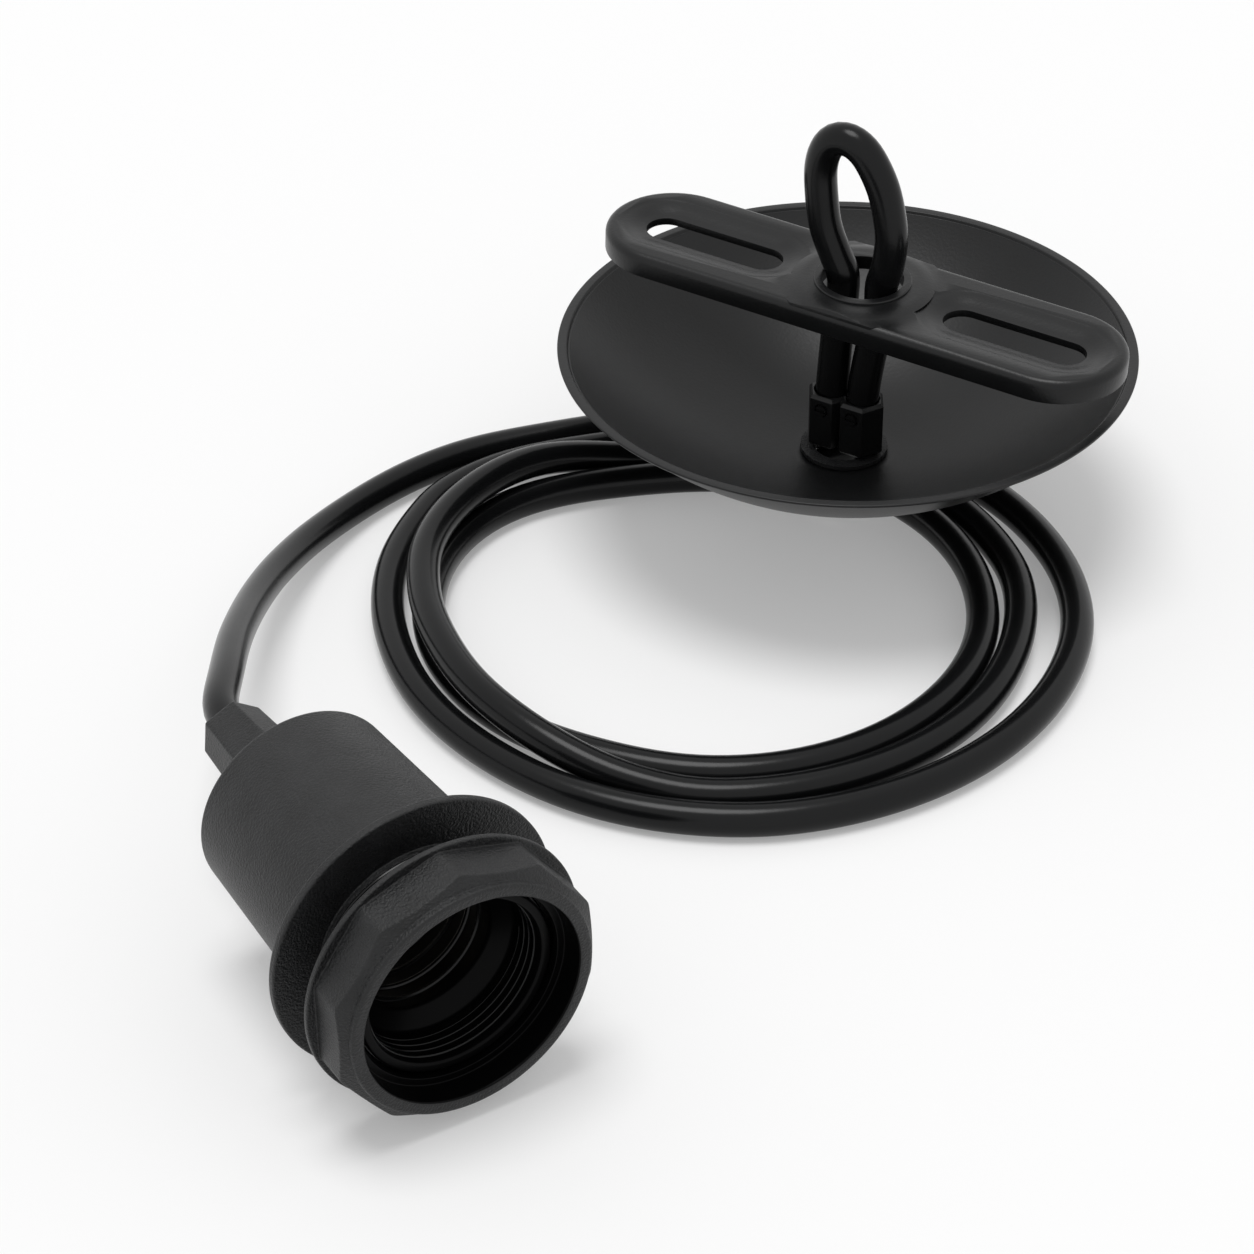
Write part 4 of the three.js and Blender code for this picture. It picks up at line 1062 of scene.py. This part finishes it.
class CORDSET_OT_cord(bpy.types.Operator):
    """Free cord from the grip nut through the coil's three turns up to the canopy"""

    bl_idname = "cordset.cord"
    bl_label = "Cord"

    def execute(self, context):
        sizes = context.scene.cord_set_sizes
        paint = finishes(context.scene.cord_set_colours)
        radius = sizes.cord_diameter / MM / 2
        line = self.route(radius)
        made = raw_object("cord", tube(line, radius, 28), Matrix.Scale(MM, 4))
        replaced = ["cord_lead", "cord_coil", "cord_riser"]
        finished(made, paint["cord_sheath"], replaced, degrees=50)
        return {"FINISHED"}

    def route(self, radius):
        """The cord's middle line, evened out and never nearer to the table than its own radius."""
        coil = []
        for azimuth, reach, height in catmull_rom(TURNS, 6):
            a = math.radians(azimuth)
            x = COIL_CENTRE[0] + reach * math.cos(a)
            y = COIL_CENTRE[1] + reach * math.sin(a)
            coil.append(Vector((x, y, height)))
        line = evenly(catmull_rom(LEAD + [tuple(coil[0])], 6)[:-1] + coil, CORD_SPACING)
        for _ in range(EVENING_ROUNDS):
            between = [(a + b * 2 + c) / 4 for a, b, c in zip(line, line[1:], line[2:])]
            line = [line[0], *between, line[-1]]
        for p in line:
            p.z = max(p.z, radius)
        return line


# The photo's view and light, in metres, degrees and millimetres of lens

CAMERA_PLACE = (-0.01405, -0.6885, 0.5097)
CAMERA_TARGET = (-0.01405, 0.0303, 0)
LENS = 120.95
SENSOR_WIDTH = 36
FLOOR_REACH = 4.0
FLOOR_HEIGHT = -0.0001
FLOOR_GLOW = 0.26
OVERHEAD_STRENGTH = 1.5
OVERHEAD_SPREAD = 30
OVERHEAD_DIRECTION = (0.1, 0.02, -1)
SURROUNDINGS_STRENGTH = 0.58


def add_camera(scene):
    """A camera at the photo's own viewpoint."""
    lens = bpy.data.cameras.new("Camera")
    lens.lens = LENS
    lens.sensor_width = SENSOR_WIDTH
    lens.clip_start = 0.01
    camera = bpy.data.objects.new("Camera", lens)
    scene.collection.objects.link(camera)
    place = Vector(CAMERA_PLACE)
    camera.location = place
    camera.rotation_euler = (Vector(CAMERA_TARGET) - place).to_track_quat("-Z", "Y").to_euler()
    scene.camera = camera


def add_floor(scene):
    """A white floor just under the table's height, with a little glow that keeps its shadows pale."""
    corners = [(x * FLOOR_REACH, y * FLOOR_REACH, 0) for x, y in ((-1, -1), (1, -1), (1, 1), (-1, 1))]
    floor = raw_object("floor", (corners, [(0, 1, 2, 3)]))
    floor.location.z = FLOOR_HEIGHT
    paint = bpy.data.materials.new("White floor")
    paint.use_nodes = True
    shader = paint.node_tree.nodes["Principled BSDF"]
    shader.inputs["Base Color"].default_value = (*scene.cord_set_colours.floor, 1)
    shader.inputs["Roughness"].default_value = 0.9
    shader.inputs["Specular IOR Level"].default_value = 0.1
    shader.inputs["Emission Color"].default_value = (1, 1, 1, 1)
    shader.inputs["Emission Strength"].default_value = FLOOR_GLOW
    floor.data.materials.append(paint)


def add_overhead(scene):
    """A broad soft light from above."""
    lamp = bpy.data.lights.new("Overhead", "SUN")
    lamp.energy = OVERHEAD_STRENGTH
    lamp.angle = math.radians(OVERHEAD_SPREAD)
    overhead = bpy.data.objects.new("Overhead", lamp)
    scene.collection.objects.link(overhead)
    overhead.rotation_euler = Vector(OVERHEAD_DIRECTION).to_track_quat("-Z", "Y").to_euler()


def add_surroundings(scene):
    """Even light on the object, and plain white where the camera, a gloss or glass sees past the floor."""
    world = bpy.data.worlds.new("Surroundings")
    scene.world = world
    world.use_nodes = True
    nodes, links = world.node_tree.nodes, world.node_tree.links
    nodes.clear()
    end = nodes.new("ShaderNodeOutputWorld")
    even = nodes.new("ShaderNodeBackground")
    even.inputs["Color"].default_value = (1, 1, 1, 1)
    even.inputs["Strength"].default_value = SURROUNDINGS_STRENGTH
    white = nodes.new("ShaderNodeBackground")
    white.inputs["Color"].default_value = (1, 1, 1, 1)
    white.inputs["Strength"].default_value = 1.0
    seen = nodes.new("ShaderNodeLightPath")
    direct = nodes.new("ShaderNodeMath")
    direct.operation = "ADD"
    plain = nodes.new("ShaderNodeMath")
    plain.operation = "ADD"
    plain.use_clamp = True
    blend = nodes.new("ShaderNodeMixShader")
    links.new(seen.outputs["Is Camera Ray"], direct.inputs[0])
    links.new(seen.outputs["Is Glossy Ray"], direct.inputs[1])
    links.new(direct.outputs["Value"], plain.inputs[0])
    links.new(seen.outputs["Is Transmission Ray"], plain.inputs[1])
    links.new(plain.outputs["Value"], blend.inputs["Fac"])
    links.new(even.outputs["Background"], blend.inputs[1])
    links.new(white.outputs["Background"], blend.inputs[2])
    links.new(blend.outputs["Shader"], end.inputs["Surface"])


class CORDSET_OT_stage(bpy.types.Operator):
    """Camera, plain white floor, soft overhead light and even surroundings"""

    bl_idname = "cordset.stage"
    bl_label = "Stage"

    def execute(self, context):
        scene = context.scene
        scene.view_settings.view_transform = "Standard"
        add_camera(scene)
        add_floor(scene)
        add_overhead(scene)
        add_surroundings(scene)
        return {"FINISHED"}


class CORDSET_PT_panel(bpy.types.Panel):
    """Lists the pieces of the cord set with their sizes and colours"""

    bl_idname = "CORDSET_PT_panel"
    bl_label = "Pendant Cord Set"
    bl_space_type = "VIEW_3D"
    bl_region_type = "UI"
    bl_category = "Cord Set"

    def draw(self, context):
        for group in (context.scene.cord_set_sizes, context.scene.cord_set_colours):
            for name in group.__annotations__:
                self.layout.prop(group, name)
        for step in STEPS:
            self.layout.operator(step.bl_idname)


STEPS = (
    CORDSET_OT_stage,
    CORDSET_OT_cord,
    CORDSET_OT_cap,
    CORDSET_OT_skirt,
    CORDSET_OT_ring,
    CORDSET_OT_grip,
    CORDSET_OT_inside,
    CORDSET_OT_canopy,
    CORDSET_OT_bracket,
    CORDSET_OT_loop,
)
CLASSES = (CordSetSizes, CordSetColours, *STEPS, CORDSET_PT_panel)


def register():
    for item in CLASSES:
        bpy.utils.register_class(item)
    bpy.types.Scene.cord_set_sizes = bpy.props.PointerProperty(type=CordSetSizes)
    bpy.types.Scene.cord_set_colours = bpy.props.PointerProperty(type=CordSetColours)


def unregister():
    del bpy.types.Scene.cord_set_colours
    del bpy.types.Scene.cord_set_sizes
    for item in reversed(CLASSES):
        bpy.utils.unregister_class(item)


def main():
    register()
    bpy.ops.cordset.stage()
    bpy.ops.cordset.cord()
    bpy.ops.cordset.cap()
    bpy.ops.cordset.skirt()
    bpy.ops.cordset.ring()
    bpy.ops.cordset.grip()
    bpy.ops.cordset.inside()
    bpy.ops.cordset.canopy()
    bpy.ops.cordset.bracket()
    bpy.ops.cordset.loop()


if __name__ == "__main__":
    main()
